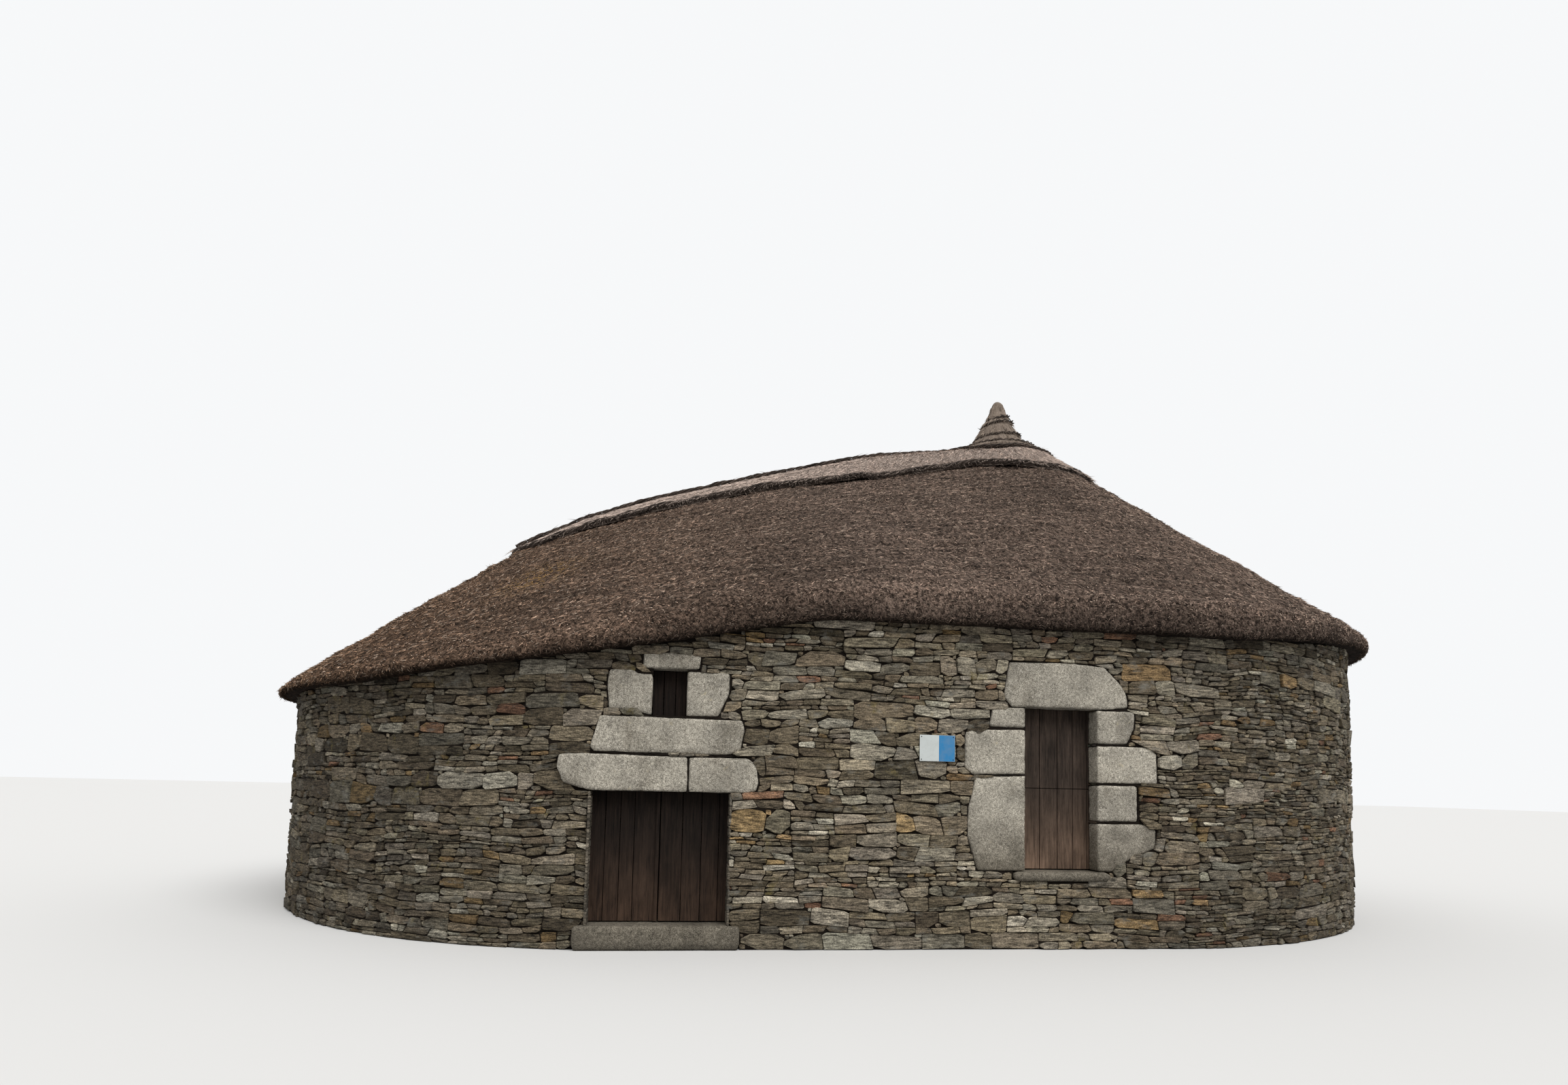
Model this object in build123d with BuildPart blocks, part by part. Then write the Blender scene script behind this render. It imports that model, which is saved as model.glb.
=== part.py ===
"""Oval drystone mountain house under one coat of thatch, as an assembly of named pieces.

X runs along the front wall to the right, Y goes into the building and Z is up.
The origin is under the middle of the plan, at the lowest ground that the walls meet.
All sizes are in mm.
"""
from build123d import *
import os
from math import acos, cos, degrees, radians, sin, sqrt

os.makedirs("parts", exist_ok=True)

# Plan: two half circles joined by straight walls
END_X = 3000            # each end centre, from the middle
WALL_R = 5250           # outer wall face, from the end centres and from the long axis
WALL_T = 900            # wall thickness
OVERHANG = 250          # thatch beyond the wall face
EAVE_R = WALL_R + OVERHANG
FACE = -WALL_R          # y of the front wall face

# Roof sections from the right end centre to the left end of the ridge: x, ridge height,
# shoulder y and height, height where the slope meets the eave line, how far the brow
# drops below that, and the height of the eave's lower edge
HIP_IN = 2370           # end of the ridge beyond the left end centre
HIP_X = -END_X - HIP_IN
ROOF = [
    (END_X, 7850, 900, 7600, 4030, 0, 3650),
    (500, 7530, 350, 7380, 4080, 60, 3650),
    (-1050, 7130, 350, 6975, 4100, 80, 3650),
    (-END_X, 6570, 350, 6420, 3680, 100, 3285),
    (-END_X - 1250, 6130, 300, 5990, 3340, 70, 3105),
    (HIP_X, 5560, 500, 5320, 3120, 40, 2990),
]
HIP_TILT = 0.06         # fall of the eave round the left end, for each mm in x
LOW_END = (-END_X - 3400, 2870)         # lower edge of the eave round the left end
HIGH_END = (END_X + 4100, 3885)         # and round the right end
RISE_X = END_X + 1000   # from here the lower edge climbs to the right end
HIP_FACETS = 16
CONE_FACETS = 24        # flats round the right end
BROW_W = 140            # width of the rounded-over edge
SPREAD = 400            # roof volume past the rim, trimmed off upright at the eave
THATCH = 540            # thatch, measured plumb

# Upper courses of thatch: how far in from the eave each one ends, and how far over the
# eave line its slope aims
COURSES = [(1300, 42), (2600, 110)]
WALL_LIFT = 30          # top courses packed up against the thatch

# Timber frame
RAFTER_D = 170          # measured plumb
RAFTER_W = 120
RAFTER_PITCH = 1200
RAFTER_IN = 200         # first pair, from the right end centre
SPOKES = [-75, -45, -15, 15, 45, 75]
BEAM_W = 220
BEAM_D = 300

# Straw cap on the ridge and round the peak, held by ropes along its edges and the ridge
CAP_T = 100
CAP_PLAN = [(END_X, 1400), (0, 1300), (-1200, 900), (-END_X, 750), (HIP_X - 60, 260)]
CAP_R = 1650
ROPE = 60
ROPE_IN = 40

# Finial profile, r and z, and the ropes bound round it
FINIAL = [(800, 7800), (660, 7885), (640, 7910), (500, 7975), (385, 8130), (400, 8150), (256, 8385),
          (268, 8410), (190, 8500), (200, 8520), (142, 8640), (100, 8790), (50, 8850)]
FINIAL_TIP = 8865
FINIAL_SIDES = 16
TIP_R = 12
RINGS = [(660, 7900), (398, 8142), (266, 8398), (200, 8510)]
RING_R = 26
CAP_RING = 950          # radius of the rope round the cap

# House door: tall, in two leaves one over the other, hinged on the right
HD_X = 1740
HD_HALF = 436
HD_SILL = 870
HD_HEAD = 2743
HD_SPLIT = 1817

# Stable door: low and wide, in two leaves side by side
SD_X = -2825
SD_HALF = 750
SD_SILL = 260
SD_HEAD = 1684

# Leaves, ironwork and the passages behind the granite
REBATE = 220            # depth of the granite in front of the leaves
HEAD_LAP = 60           # passage ceiling above the door head
CLEAR = 12              # leaves above sills and below ceilings
LEAF_GAP = 6            # leaves behind the granite
LEAF_T = 45
LEAF_LAP = 64           # leaves behind the jambs
SEAM = 8                # between two leaves
LEDGE_H = 90
LEDGE_T = 25
LEDGE_IN = 170
AXIS_OUT = 30           # pin axis beyond the leaf edge
SIDE_ROOM = 50          # pin axis to the side of the passage
STRAP_T = 6
STRAP_H = 40
STRAP_L = 590
STRAP_IN = 320
EYE_R = 14
PIN_R = 8
PIN_GAP = 0.3
PIN_REST = 1            # eye above the arm that carries it
BATTEN_W = 40
BATTEN_T = 20
LOCK_W = 70
LOCK_H = 120
LOCK_T = 12
LOCK_IN = 20            # lock plate from the side of the opening
LOCK_UP = 40            # lock plate above the split between the leaves

# Window over the stable door
WIN_OFF = 60            # window centre from the stable door's centre
WIN_HALF = 185
WIN_RISE = 828          # window sill above the stable door's head
WIN_H = 513
SHUTTER_D = 190
SHUTTER_T = 35

# Stones and floors
PROUD = 20              # granite stands this far out of the wall face
BLOCK_D = 300           # depth of the blocks round the window
JOINT = 8               # open joints between blocks
SILL_T = 110
SILL_OUT = 60
STEP_X = -900           # edge of the upper floor inside

# Information plate
SIGN_X = 250
SIGN_Z = 2240
SIGN_W = 410
SIGN_H = 296
SIGN_T = 8
SIGN_OFF = 30

HIGH = ROOF[0][1] + 1500
LOW = HD_SILL
FAR = END_X + 2 * WALL_R


# Roof volumes

def section(x, ridge, shoulder_y, shoulder_z, eave_z, brow, low):
    """One side of the roof at x, from the ridge out past the rim and down."""
    past = max(0, -END_X - x)
    rim_y = sqrt(EAVE_R ** 2 - past ** 2)
    slope = (shoulder_z - eave_z) / (rim_y - shoulder_y)
    rim_z = eave_z - brow
    return [(0, ridge), (shoulder_y, shoulder_z), (rim_y - BROW_W, eave_z + slope * BROW_W), (rim_y, rim_z),
            (rim_y + SPREAD, rim_z - 2 * SPREAD), (rim_y + SPREAD, LOW), (0, LOW)]


def both_sides(row):
    """Corner points of a whole roof section."""
    return [(row[0], side * y, z) for y, z in section(*row) for side in (1, -1)]


def cone_points(row):
    """Corner points of the right end: half a cone about the end centre."""
    points = []
    for i in range(CONE_FACETS + 1):
        angle = radians(180 * i / CONE_FACETS - 90)
        points += [(END_X + y * cos(angle), y * sin(angle), z) for y, z in section(*row)]
    return points


def hip_points(row):
    """Corner points of the left hip: an oblique cone from the end of the ridge."""
    x0, peak, _, _, eave_z, brow, _ = row
    points = both_sides(row)
    start = degrees(acos(-HIP_IN / EAVE_R))
    for i in range(HIP_FACETS + 1):
        angle = radians(start + (360 - 2 * start) * i / HIP_FACETS)
        x = -END_X + EAVE_R * cos(angle)
        y = EAVE_R * sin(angle)
        z = eave_z + HIP_TILT * (x - x0)
        part = 1 - BROW_W / sqrt((x - x0) ** 2 + y ** 2)
        points.append((x0 + part * (x - x0), part * y, peak + part * (z - peak)))
        points.append((x, y, z - brow))
        x_out = -END_X + (EAVE_R + SPREAD) * cos(angle)
        y_out = (EAVE_R + SPREAD) * sin(angle)
        points.append((x_out, y_out, z - brow - 2 * SPREAD))
        points.append((x_out, y_out, LOW))
    return points


def roof_volume(lift):
    """Everything under the roof surface, with its slopes aimed at an eave line raised by lift."""
    rows = [(*row[:4], row[4] + lift, *row[5:]) for row in ROOF]
    with BuildPart() as volume:
        ConvexPolyhedron(cone_points(rows[0]))
        for right_row, left_row in zip(rows, rows[1:]):
            ConvexPolyhedron(both_sides(right_row) + both_sides(left_row))
        ConvexPolyhedron(hip_points(rows[-1]))
    return volume.part


roof = roof_volume(0)


def roof_at(rise):
    """Everything under the roof surface, moved up by rise."""
    return roof.moved(Location((0, 0, rise)))


def upright(r, z0, z1):
    """Upright prism with the plan of the building at radius r."""
    with BuildPart() as prism:
        with BuildSketch(Plane.XY.offset(z0)):
            SlotCenterToCenter(2 * END_X, 2 * r)
        extrude(amount=z1 - z0)
    return prism.part


def above(line):
    """Everything above a line in x and z, right through the building."""
    with BuildPart() as prism:
        with BuildSketch(Plane.XZ):
            with BuildLine():
                Polyline(*line, (-FAR, HIGH + 500), (FAR, HIGH + 500), close=True)
            make_face()
        extrude(amount=FAR, both=True)
    return prism.part


def wall_top(x, ridge, shoulder_y, shoulder_z, eave_z, brow, low):
    """Height of the wall top at a roof section, tight under the thatch."""
    if x <= -END_X:
        return low
    slope = (shoulder_z - eave_z) / (EAVE_R - shoulder_y)
    return max(low, eave_z + slope * OVERHANG - THATCH + WALL_LIFT)


def end_line(rise, start):
    """Line round the right end, raised by rise, that starts at a height at RISE_X."""
    high = HIGH_END[1] + rise
    return [(FAR, high), (HIGH_END[0], high), (RISE_X, start)]


left_end_line = [LOW_END, (-FAR, LOW_END[1])]
eave_line = [(row[0], row[6]) for row in ROOF]
wall_line = [(row[0], wall_top(*row)) for row in ROOF]
above_eave = above(end_line(0, ROOF[0][6]) + eave_line + left_end_line)
above_walls = above(end_line(WALL_LIFT, wall_line[0][1]) + wall_line + left_end_line)


def course(inset, lift):
    """Course of thatch that ends over the one below it, in from the eave."""
    with BuildPart() as layer:
        add(roof_volume(lift))
        add(upright(EAVE_R - inset, LOW, HIGH), mode=Mode.INTERSECT)
    return layer.part


# Thatch, in three courses over the cone, the falling ridge and the left hip
with BuildPart() as coat:
    add(roof)
    for inset, lift in COURSES:
        add(course(inset, lift))

with BuildPart() as thatch:
    add(coat.part)
    add(upright(EAVE_R, LOW, HIGH), mode=Mode.INTERSECT)
    add(roof_at(-THATCH), mode=Mode.SUBTRACT)
    add(above_eave, mode=Mode.INTERSECT)

# Rafters, cut from the layer just under the thatch, with their feet on the wall top
with BuildPart() as rafter_layer:
    add(roof_at(-THATCH))
    add(roof_at(-THATCH - RAFTER_D), mode=Mode.SUBTRACT)
    add(above_walls, mode=Mode.INTERSECT)
    add(upright(WALL_R, LOW, HIGH), mode=Mode.INTERSECT)

pairs = int((END_X - RAFTER_IN - HIP_X - RAFTER_W) // RAFTER_PITCH) + 1
rafter_x = [END_X - RAFTER_IN - i * RAFTER_PITCH for i in range(pairs)]
with BuildPart() as rafters_middle:
    with Locations([(x, 0, HIGH / 2) for x in rafter_x]):
        Box(RAFTER_W, 2 * FAR, HIGH)
    add(rafter_layer.part, mode=Mode.INTERSECT)


def spokes(x, turn):
    """Upright slabs spread like spokes about the point at x on the ridge."""
    with BuildPart() as star:
        with Locations([Location((x, 0, 0), (0, 0, turn + angle)) for angle in SPOKES]):
            Box(FAR, RAFTER_W, HIGH, align=(Align.MIN, Align.CENTER, Align.MIN))
        keep = Align.MIN if turn == 0 else Align.MAX
        with Locations((x, 0, 0)):
            Box(FAR, 2 * FAR, HIGH, align=(keep, Align.CENTER, Align.MIN), mode=Mode.INTERSECT)
    return star.part


with BuildPart() as rafters_right:
    add(spokes(END_X, 0))
    add(rafter_layer.part, mode=Mode.INTERSECT)

with BuildPart() as rafters_left:
    add(spokes(HIP_X, 180))
    add(rafter_layer.part, mode=Mode.INTERSECT)

beam_drop = THATCH + RAFTER_D + BEAM_D
beam_line = [(FAR, ROOF[0][1] - beam_drop)] + [(row[0], row[1] - beam_drop) for row in ROOF]
beam_line.append((-FAR, beam_line[-1][1]))
with BuildPart() as ridge_beam:
    with Locations(((END_X + HIP_X + BEAM_W) / 2, 0, 0)):
        Box(END_X - HIP_X + BEAM_W, BEAM_W, HIGH, align=(Align.CENTER, Align.CENTER, Align.MIN))
    add(roof_at(-THATCH - RAFTER_D), mode=Mode.INTERSECT)
    add(above(beam_line), mode=Mode.INTERSECT)


# Straw cap and its ropes

def cap_plan(inset):
    """Upright prism over the ridge cap: a tapering band and a disc round the peak."""
    right_edge = [(x, -y + inset) for x, y in CAP_PLAN]
    back_edge = [(x, y - inset) for x, y in reversed(CAP_PLAN)]
    with BuildPart() as prism:
        with BuildSketch(Plane.XY.offset(LOW)):
            with BuildLine():
                Polyline(*right_edge, *back_edge, close=True)
            make_face()
            with Locations((END_X, 0)):
                RegularPolygon(CAP_R - inset, 2 * CONE_FACETS)
        extrude(amount=HIGH)
    return prism.part


with BuildPart() as ridge_cap:
    add(roof_at(CAP_T))
    add(coat.part, mode=Mode.SUBTRACT)
    add(cap_plan(0), mode=Mode.INTERSECT)

with BuildPart() as rope_lines:
    add(cap_plan(ROPE_IN))
    add(cap_plan(ROPE_IN + ROPE), mode=Mode.SUBTRACT)
    with Locations((HIP_X, 0, LOW)):
        Box(END_X - CAP_RING - 2 * RING_R - HIP_X, ROPE, HIGH, align=(Align.MIN, Align.CENTER, Align.MIN))

with BuildPart() as ridge_ropes:
    add(roof_at(CAP_T + ROPE))
    add(roof_at(CAP_T), mode=Mode.SUBTRACT)
    add(rope_lines.part, mode=Mode.INTERSECT)

# Finial of bound straw on the peak

def stack(levels):
    """Straight-sided tiers round the peak through a list of r and z."""
    with BuildPart() as tiers:
        for r, z in levels:
            with BuildSketch(Plane(origin=(END_X, 0, z))):
                RegularPolygon(r, FINIAL_SIDES)
        loft(ruled=True)
    return tiers.part


def hoop(r, z):
    """Rope round the peak, of radius r at height z."""
    with BuildPart() as turn:
        add(stack([(r, z - RING_R), (r + RING_R, z - RING_R / 2), (r + RING_R, z + RING_R / 2), (r, z + RING_R)]))
        add(stack([(r - RING_R, z - 2 * RING_R), (r - RING_R, z + 2 * RING_R)]), mode=Mode.SUBTRACT)
    return turn.part


with BuildPart() as finial:
    add(stack([(FINIAL[0][0], ROOF[0][3]), *FINIAL, (TIP_R, FINIAL_TIP)]))
    add(roof_at(CAP_T), mode=Mode.SUBTRACT)

cone_fall = (ROOF[0][3] - ROOF[0][4]) / (EAVE_R - ROOF[0][2])
cap_ring_z = ROOF[0][3] + CAP_T - cone_fall * (CAP_RING - ROOF[0][2]) + RING_R / 2
with BuildPart() as finial_rings:
    for r, z in [*RINGS, (CAP_RING, cap_ring_z)]:
        add(hoop(r, z))
    add(finial.part, mode=Mode.SUBTRACT)
    add(roof_at(CAP_T), mode=Mode.SUBTRACT)


# Granite in the front wall

def stone(outline, depth=REBATE):
    """Stone from its outline in x and z, let into the front wall."""
    with BuildPart() as block:
        with BuildSketch(Plane.XZ.offset(PROUD - FACE)):
            with BuildLine():
                Polyline(*outline, close=True)
            make_face()
        extrude(amount=-depth - PROUD)
    return block.part


def jamb(side, courses):
    """Stones up one side of the house door.

    Each course lists how far its corners reach out from the opening and how high they
    stand, as a share of the clear height.
    """
    edge = HD_X + side * HD_HALF
    clear_h = HD_HEAD - JOINT - HD_SILL
    with BuildPart() as pile:
        for course in courses:
            add(stone([(edge + side * out, HD_SILL + share * clear_h) for out, share in course]))
    return pile.part


def about(x, z, outline):
    return [(x + dx, z + dz) for dx, dz in outline]


with BuildPart() as house_lintel:
    add(stone(about(HD_X, HD_HEAD, [(-600, 0), (560, 0), (820, 32), (805, 222), (690, 352), (530, 507),
                                    (150, 537), (-630, 527), (-700, 117)])))

with BuildPart() as house_jamb_left:
    add(jamb(-1, [
        [(0, 0.874), (434, 0.874), (399, 1), (0, 1)],
        [(0, 0.588), (624, 0.58), (728, 0.625), (721, 0.82), (692, 0.858), (0, 0.868)],
        [(0, 0), (569, 0), (684, 0.197), (678, 0.38), (622, 0.5), (604, 0.571), (0, 0.582)],
    ]))

with BuildPart() as house_jamb_right:
    add(jamb(1, [
        [(0, 0.79), (374, 0.79), (464, 0.893), (474, 1), (0, 1)],
        [(0, 0.546), (749, 0.549), (744, 0.735), (684, 0.78), (0, 0.778)],
        [(0, 0.308), (495, 0.312), (498, 0.536), (0, 0.535)],
        [(0, 0), (174, 0), (411, 0.083), (711, 0.145), (733, 0.264), (614, 0.298), (0, 0.298)],
    ]))

with BuildPart() as stable_lintels:
    add(stone(about(SD_X, SD_HEAD, [(280, 0), (276, 388), (-803, 401), (-1101, 384), (-1117, 242),
                                    (-1046, 80), (-778, 0)])))
    add(stone(about(SD_X, SD_HEAD, [(293, 0), (925, 0), (1033, 16), (1065, 117), (1037, 318), (934, 394),
                                    (291, 384)])))

with BuildPart() as stable_upper_lintel:
    add(stone(about(SD_X, SD_HEAD, [(709, 414), (854, 441), (892, 696), (865, 806), (-690, 816),
                                    (-773, 476), (-739, 421)]), BLOCK_D))

WIN_X = SD_X + WIN_OFF
WIN_LOW = SD_HEAD + WIN_RISE
WIN_TOP = WIN_LOW + WIN_H
with BuildPart() as window_jambs:
    add(stone(about(WIN_X - WIN_HALF, WIN_LOW, [(0, 0), (0, WIN_H - 60), (-164, WIN_H - 60),
                                                (-214, WIN_H - 16), (-475, WIN_H - 22), (-491, 331),
                                                (-470, 55), (-296, 49)]), BLOCK_D))
    add(stone(about(WIN_X + WIN_HALF, WIN_LOW, [(0, 0), (351, 5), (472, 268), (472, WIN_H - 18),
                                                (0, WIN_H - 14)]), BLOCK_D))

with BuildPart() as window_lintel:
    add(stone(about(WIN_X, WIN_TOP, [(-305, 0), (320, 0), (337, 173), (-296, 191)]), BLOCK_D))

HD_BACK = HD_HALF + LEAF_LAP + AXIS_OUT + SIDE_ROOM
SD_BACK = SD_HALF + LEAF_LAP + AXIS_OUT + SIDE_ROOM
HD_CEIL = HD_HEAD + HEAD_LAP
SD_CEIL = SD_HEAD + HEAD_LAP


def box(x0, x1, y0, y1, z0, z1):
    """Block between pairs of limits."""
    with BuildPart() as block:
        with Locations(((x0 + x1) / 2, (y0 + y1) / 2, (z0 + z1) / 2)):
            Box(x1 - x0, y1 - y0, z1 - z0)
    return block.part


with BuildPart() as house_sill:
    add(box(HD_X - HD_BACK, HD_X + HD_BACK, FACE - SILL_OUT, FACE + WALL_T, HD_SILL - SILL_T, HD_SILL))

with BuildPart() as stable_sill:
    add(box(SD_X - SD_BACK, SD_X + SD_BACK, FACE - SILL_OUT, FACE + WALL_T, 0, SD_SILL))

# Walls: one drystone ring up to the roof, with the doors and the window cut through
with BuildPart() as ring:
    add(upright(WALL_R, 0, HIGH))
    add(upright(WALL_R - WALL_T, 0, HIGH), mode=Mode.SUBTRACT)
    add(above_walls, mode=Mode.SUBTRACT)
    add(thatch.part, mode=Mode.SUBTRACT)
    out = FACE - WALL_T
    back = FACE + 2 * WALL_T
    deep = FACE + REBATE
    add(box(HD_X - HD_HALF, HD_X + HD_HALF, out, deep, HD_SILL, HD_HEAD), mode=Mode.SUBTRACT)
    add(box(HD_X - HD_BACK, HD_X + HD_BACK, deep, back, HD_SILL, HD_CEIL), mode=Mode.SUBTRACT)
    add(box(SD_X - SD_HALF, SD_X + SD_HALF, out, deep, SD_SILL, SD_HEAD), mode=Mode.SUBTRACT)
    add(box(SD_X - SD_BACK, SD_X + SD_BACK, deep, back, SD_SILL, SD_CEIL), mode=Mode.SUBTRACT)
    add(box(WIN_X - WIN_HALF, WIN_X + WIN_HALF, out, back, WIN_LOW, WIN_TOP), mode=Mode.SUBTRACT)
    for piece in (house_lintel, house_jamb_left, house_jamb_right, house_sill, stable_lintels,
                  stable_upper_lintel, stable_sill, window_jambs, window_lintel):
        add(piece.part, mode=Mode.SUBTRACT)

# The ring is parted beside, over and under the doors, and round the ends
over_house_zone = box(HD_X - HD_BACK, HD_X + HD_BACK, -FAR, 0, HD_CEIL, HIGH)
under_house_zone = box(HD_X - HD_BACK, HD_X + HD_BACK, -FAR, 0, -10, HD_SILL - SILL_T)
with BuildPart() as over_stable_block:
    add(box(SD_X - SD_BACK, SD_X + SD_BACK, -FAR, 0, SD_CEIL, HIGH))
    add(box(SD_X - SD_HALF + JOINT, SD_X + SD_HALF - JOINT, -FAR, 0, SD_HEAD, SD_CEIL))
over_stable_zone = over_stable_block.part
with BuildPart() as door_zones:
    add(over_house_zone)
    add(under_house_zone)
    add(over_stable_zone)


def ray(centre, angle):
    """Plan point well outside the wall, seen from an end centre."""
    return centre + FAR * cos(radians(angle)), FAR * sin(radians(angle))


def sector(*corners):
    """Upright prism from plan corners, taller than the walls."""
    with BuildPart() as prism:
        with BuildSketch(Plane.XY.offset(-10)):
            with BuildLine():
                Polyline(*corners, close=True)
            make_face()
        extrude(amount=HIGH)
    return prism.part


with BuildPart() as wall_front_left:
    add(sector((SD_X, 0), (SD_X, -FAR), ray(-END_X, -135), (-END_X, 0)))
    add(ring.part, mode=Mode.INTERSECT)
    add(door_zones.part, mode=Mode.SUBTRACT)

with BuildPart() as wall_front_middle:
    add(sector((SD_X, 0), (HD_X, 0), (HD_X, -FAR), (SD_X, -FAR)))
    add(ring.part, mode=Mode.INTERSECT)
    add(door_zones.part, mode=Mode.SUBTRACT)

with BuildPart() as wall_front_right:
    add(sector((END_X, 0), ray(END_X, -45), (HD_X, -FAR), (HD_X, 0)))
    add(ring.part, mode=Mode.INTERSECT)
    add(door_zones.part, mode=Mode.SUBTRACT)

with BuildPart() as wall_right_end:
    add(sector((END_X, 0), ray(END_X, -45), ray(END_X, 0), ray(END_X, 45)))
    add(ring.part, mode=Mode.INTERSECT)

with BuildPart() as wall_back_right:
    add(sector((0, 0), (END_X, 0), ray(END_X, 45), (0, FAR)))
    add(ring.part, mode=Mode.INTERSECT)

with BuildPart() as wall_back_left:
    add(sector((0, 0), (0, FAR), ray(-END_X, 135), (-END_X, 0)))
    add(ring.part, mode=Mode.INTERSECT)

with BuildPart() as wall_left_end:
    add(sector((-END_X, 0), ray(-END_X, 135), ray(-END_X, 180), ray(-END_X, -135)))
    add(ring.part, mode=Mode.INTERSECT)

with BuildPart() as wall_over_house_door:
    add(over_house_zone)
    add(ring.part, mode=Mode.INTERSECT)

with BuildPart() as wall_under_house_door:
    add(under_house_zone)
    add(ring.part, mode=Mode.INTERSECT)

with BuildPart() as wall_over_stable_door:
    add(over_stable_zone)
    add(ring.part, mode=Mode.INTERSECT)

# Built floors inside, each at the height of its door sill
with BuildPart() as house_floor:
    add(upright(WALL_R - WALL_T, 0, HD_SILL))
    add(box(STEP_X, FAR, -FAR, FAR, 0, HD_SILL), mode=Mode.INTERSECT)

with BuildPart() as stable_floor:
    add(upright(WALL_R - WALL_T, 0, SD_SILL))
    add(box(-FAR, STEP_X, -FAR, FAR, 0, SD_SILL), mode=Mode.INTERSECT)


# Doors

LEAF_Y = FACE + REBATE + LEAF_GAP       # outer face of the leaves
BACK_Y = LEAF_Y + LEAF_T
PIN_Y = BACK_Y + EYE_R


def leaf(x0, x1, z0, z1):
    """Boarded leaf with two ledges across its inner face."""
    with BuildPart() as panel:
        add(box(x0, x1, LEAF_Y, BACK_Y, z0, z1))
        for z in (z0 + LEDGE_IN, z1 - LEDGE_IN):
            add(box(x0 + LEDGE_H / 2, x1 - LEDGE_H / 2, BACK_Y, BACK_Y + LEDGE_T, z - LEDGE_H / 2, z + LEDGE_H / 2))
    return panel.part


def straps(pin_x, side, heights):
    """Iron straps on the inner face, each with an eye round its pin."""
    reach = pin_x - side * (AXIS_OUT + STRAP_L)
    with BuildPart() as iron:
        for z in heights:
            add(box(min(pin_x, reach), max(pin_x, reach), BACK_Y, BACK_Y + STRAP_T, z - STRAP_H / 2, z + STRAP_H / 2))
        with Locations([(pin_x, PIN_Y, z) for z in heights]):
            Cylinder(EYE_R, STRAP_H)
            Cylinder(PIN_R + PIN_GAP, STRAP_H, mode=Mode.SUBTRACT)
    return iron.part


def pintles(pin_x, side, heights):
    """Pins on arms that stand out of the side of the passage."""
    wall_x = pin_x + side * SIDE_ROOM
    with BuildPart() as iron:
        for z in heights:
            top = z - STRAP_H / 2 - PIN_REST
            add(box(min(pin_x, wall_x), max(pin_x, wall_x), PIN_Y - PIN_R, PIN_Y + PIN_R, top - 2 * PIN_R, top))
            with Locations((pin_x, PIN_Y, top - 2 * PIN_R)):
                Cylinder(PIN_R, STRAP_H + 3 * PIN_R, align=(Align.CENTER, Align.CENTER, Align.MIN))
    return iron.part


house_pin = HD_X + HD_HALF + LEAF_LAP + AXIS_OUT
house_right = HD_X + HD_HALF + LEAF_LAP
house_left = HD_X - HD_HALF - LEAF_LAP
lower_top = HD_SPLIT - SEAM / 2
upper_low = HD_SPLIT + SEAM / 2
lower_straps = [HD_SILL + STRAP_IN, HD_SPLIT - STRAP_IN]
upper_straps = [HD_SPLIT + STRAP_IN, HD_CEIL - STRAP_IN]

with BuildPart() as house_door_lower:
    add(leaf(house_left, house_right, HD_SILL + CLEAR, lower_top))

with BuildPart() as house_door_upper:
    add(leaf(house_left, house_right, upper_low, HD_CEIL - CLEAR))

with BuildPart() as house_lower_straps:
    add(straps(house_pin, 1, lower_straps))

with BuildPart() as house_upper_straps:
    add(straps(house_pin, 1, upper_straps))

with BuildPart() as house_pintles:
    add(pintles(house_pin, 1, lower_straps + upper_straps))

with BuildPart() as house_door_lock:
    with Locations((HD_X - HD_HALF + LOCK_IN, LEAF_Y, HD_SPLIT + LOCK_UP)):
        Box(LOCK_W, LOCK_T, LOCK_H, align=(Align.MIN, Align.MAX, Align.MIN))

stable_pin_left = SD_X - SD_HALF - LEAF_LAP - AXIS_OUT
stable_pin_right = SD_X + SD_HALF + LEAF_LAP + AXIS_OUT
stable_low = SD_SILL + CLEAR
stable_top = SD_CEIL - CLEAR
stable_straps = [SD_SILL + STRAP_IN, SD_CEIL - STRAP_IN]

with BuildPart() as stable_door_left:
    add(leaf(stable_pin_left + AXIS_OUT, SD_X - SEAM / 2, stable_low, stable_top))
    add(box(SD_X - SEAM / 2 - BATTEN_W, SD_X - SEAM / 2, LEAF_Y - BATTEN_T, LEAF_Y, stable_low, SD_HEAD - CLEAR))

with BuildPart() as stable_door_right:
    add(leaf(SD_X + SEAM / 2, stable_pin_right - AXIS_OUT, stable_low, stable_top))

with BuildPart() as stable_left_straps:
    add(straps(stable_pin_left, -1, stable_straps))

with BuildPart() as stable_right_straps:
    add(straps(stable_pin_right, 1, stable_straps))

with BuildPart() as stable_pintles:
    add(pintles(stable_pin_left, -1, stable_straps))
    add(pintles(stable_pin_right, 1, stable_straps))

# Window shutter, fixed shut in the opening
with BuildPart() as window_shutter:
    add(box(WIN_X - WIN_HALF, WIN_X + WIN_HALF, FACE + SHUTTER_D, FACE + SHUTTER_D + SHUTTER_T, WIN_LOW, WIN_TOP))

# Information plate on four short studs
with BuildPart() as info_sign:
    with Locations((SIGN_X, FACE - SIGN_OFF, SIGN_Z)):
        Box(SIGN_W, SIGN_T, SIGN_H, align=(Align.CENTER, Align.MAX, Align.CENTER))
        with GridLocations(SIGN_W - 100, 0, 2, 1):
            with Locations((0, 0, 100 - SIGN_H / 2), (0, 0, SIGN_H / 2 - 100)):
                Box(20, SIGN_OFF, 20, align=(Align.CENTER, Align.MIN, Align.CENTER))

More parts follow.
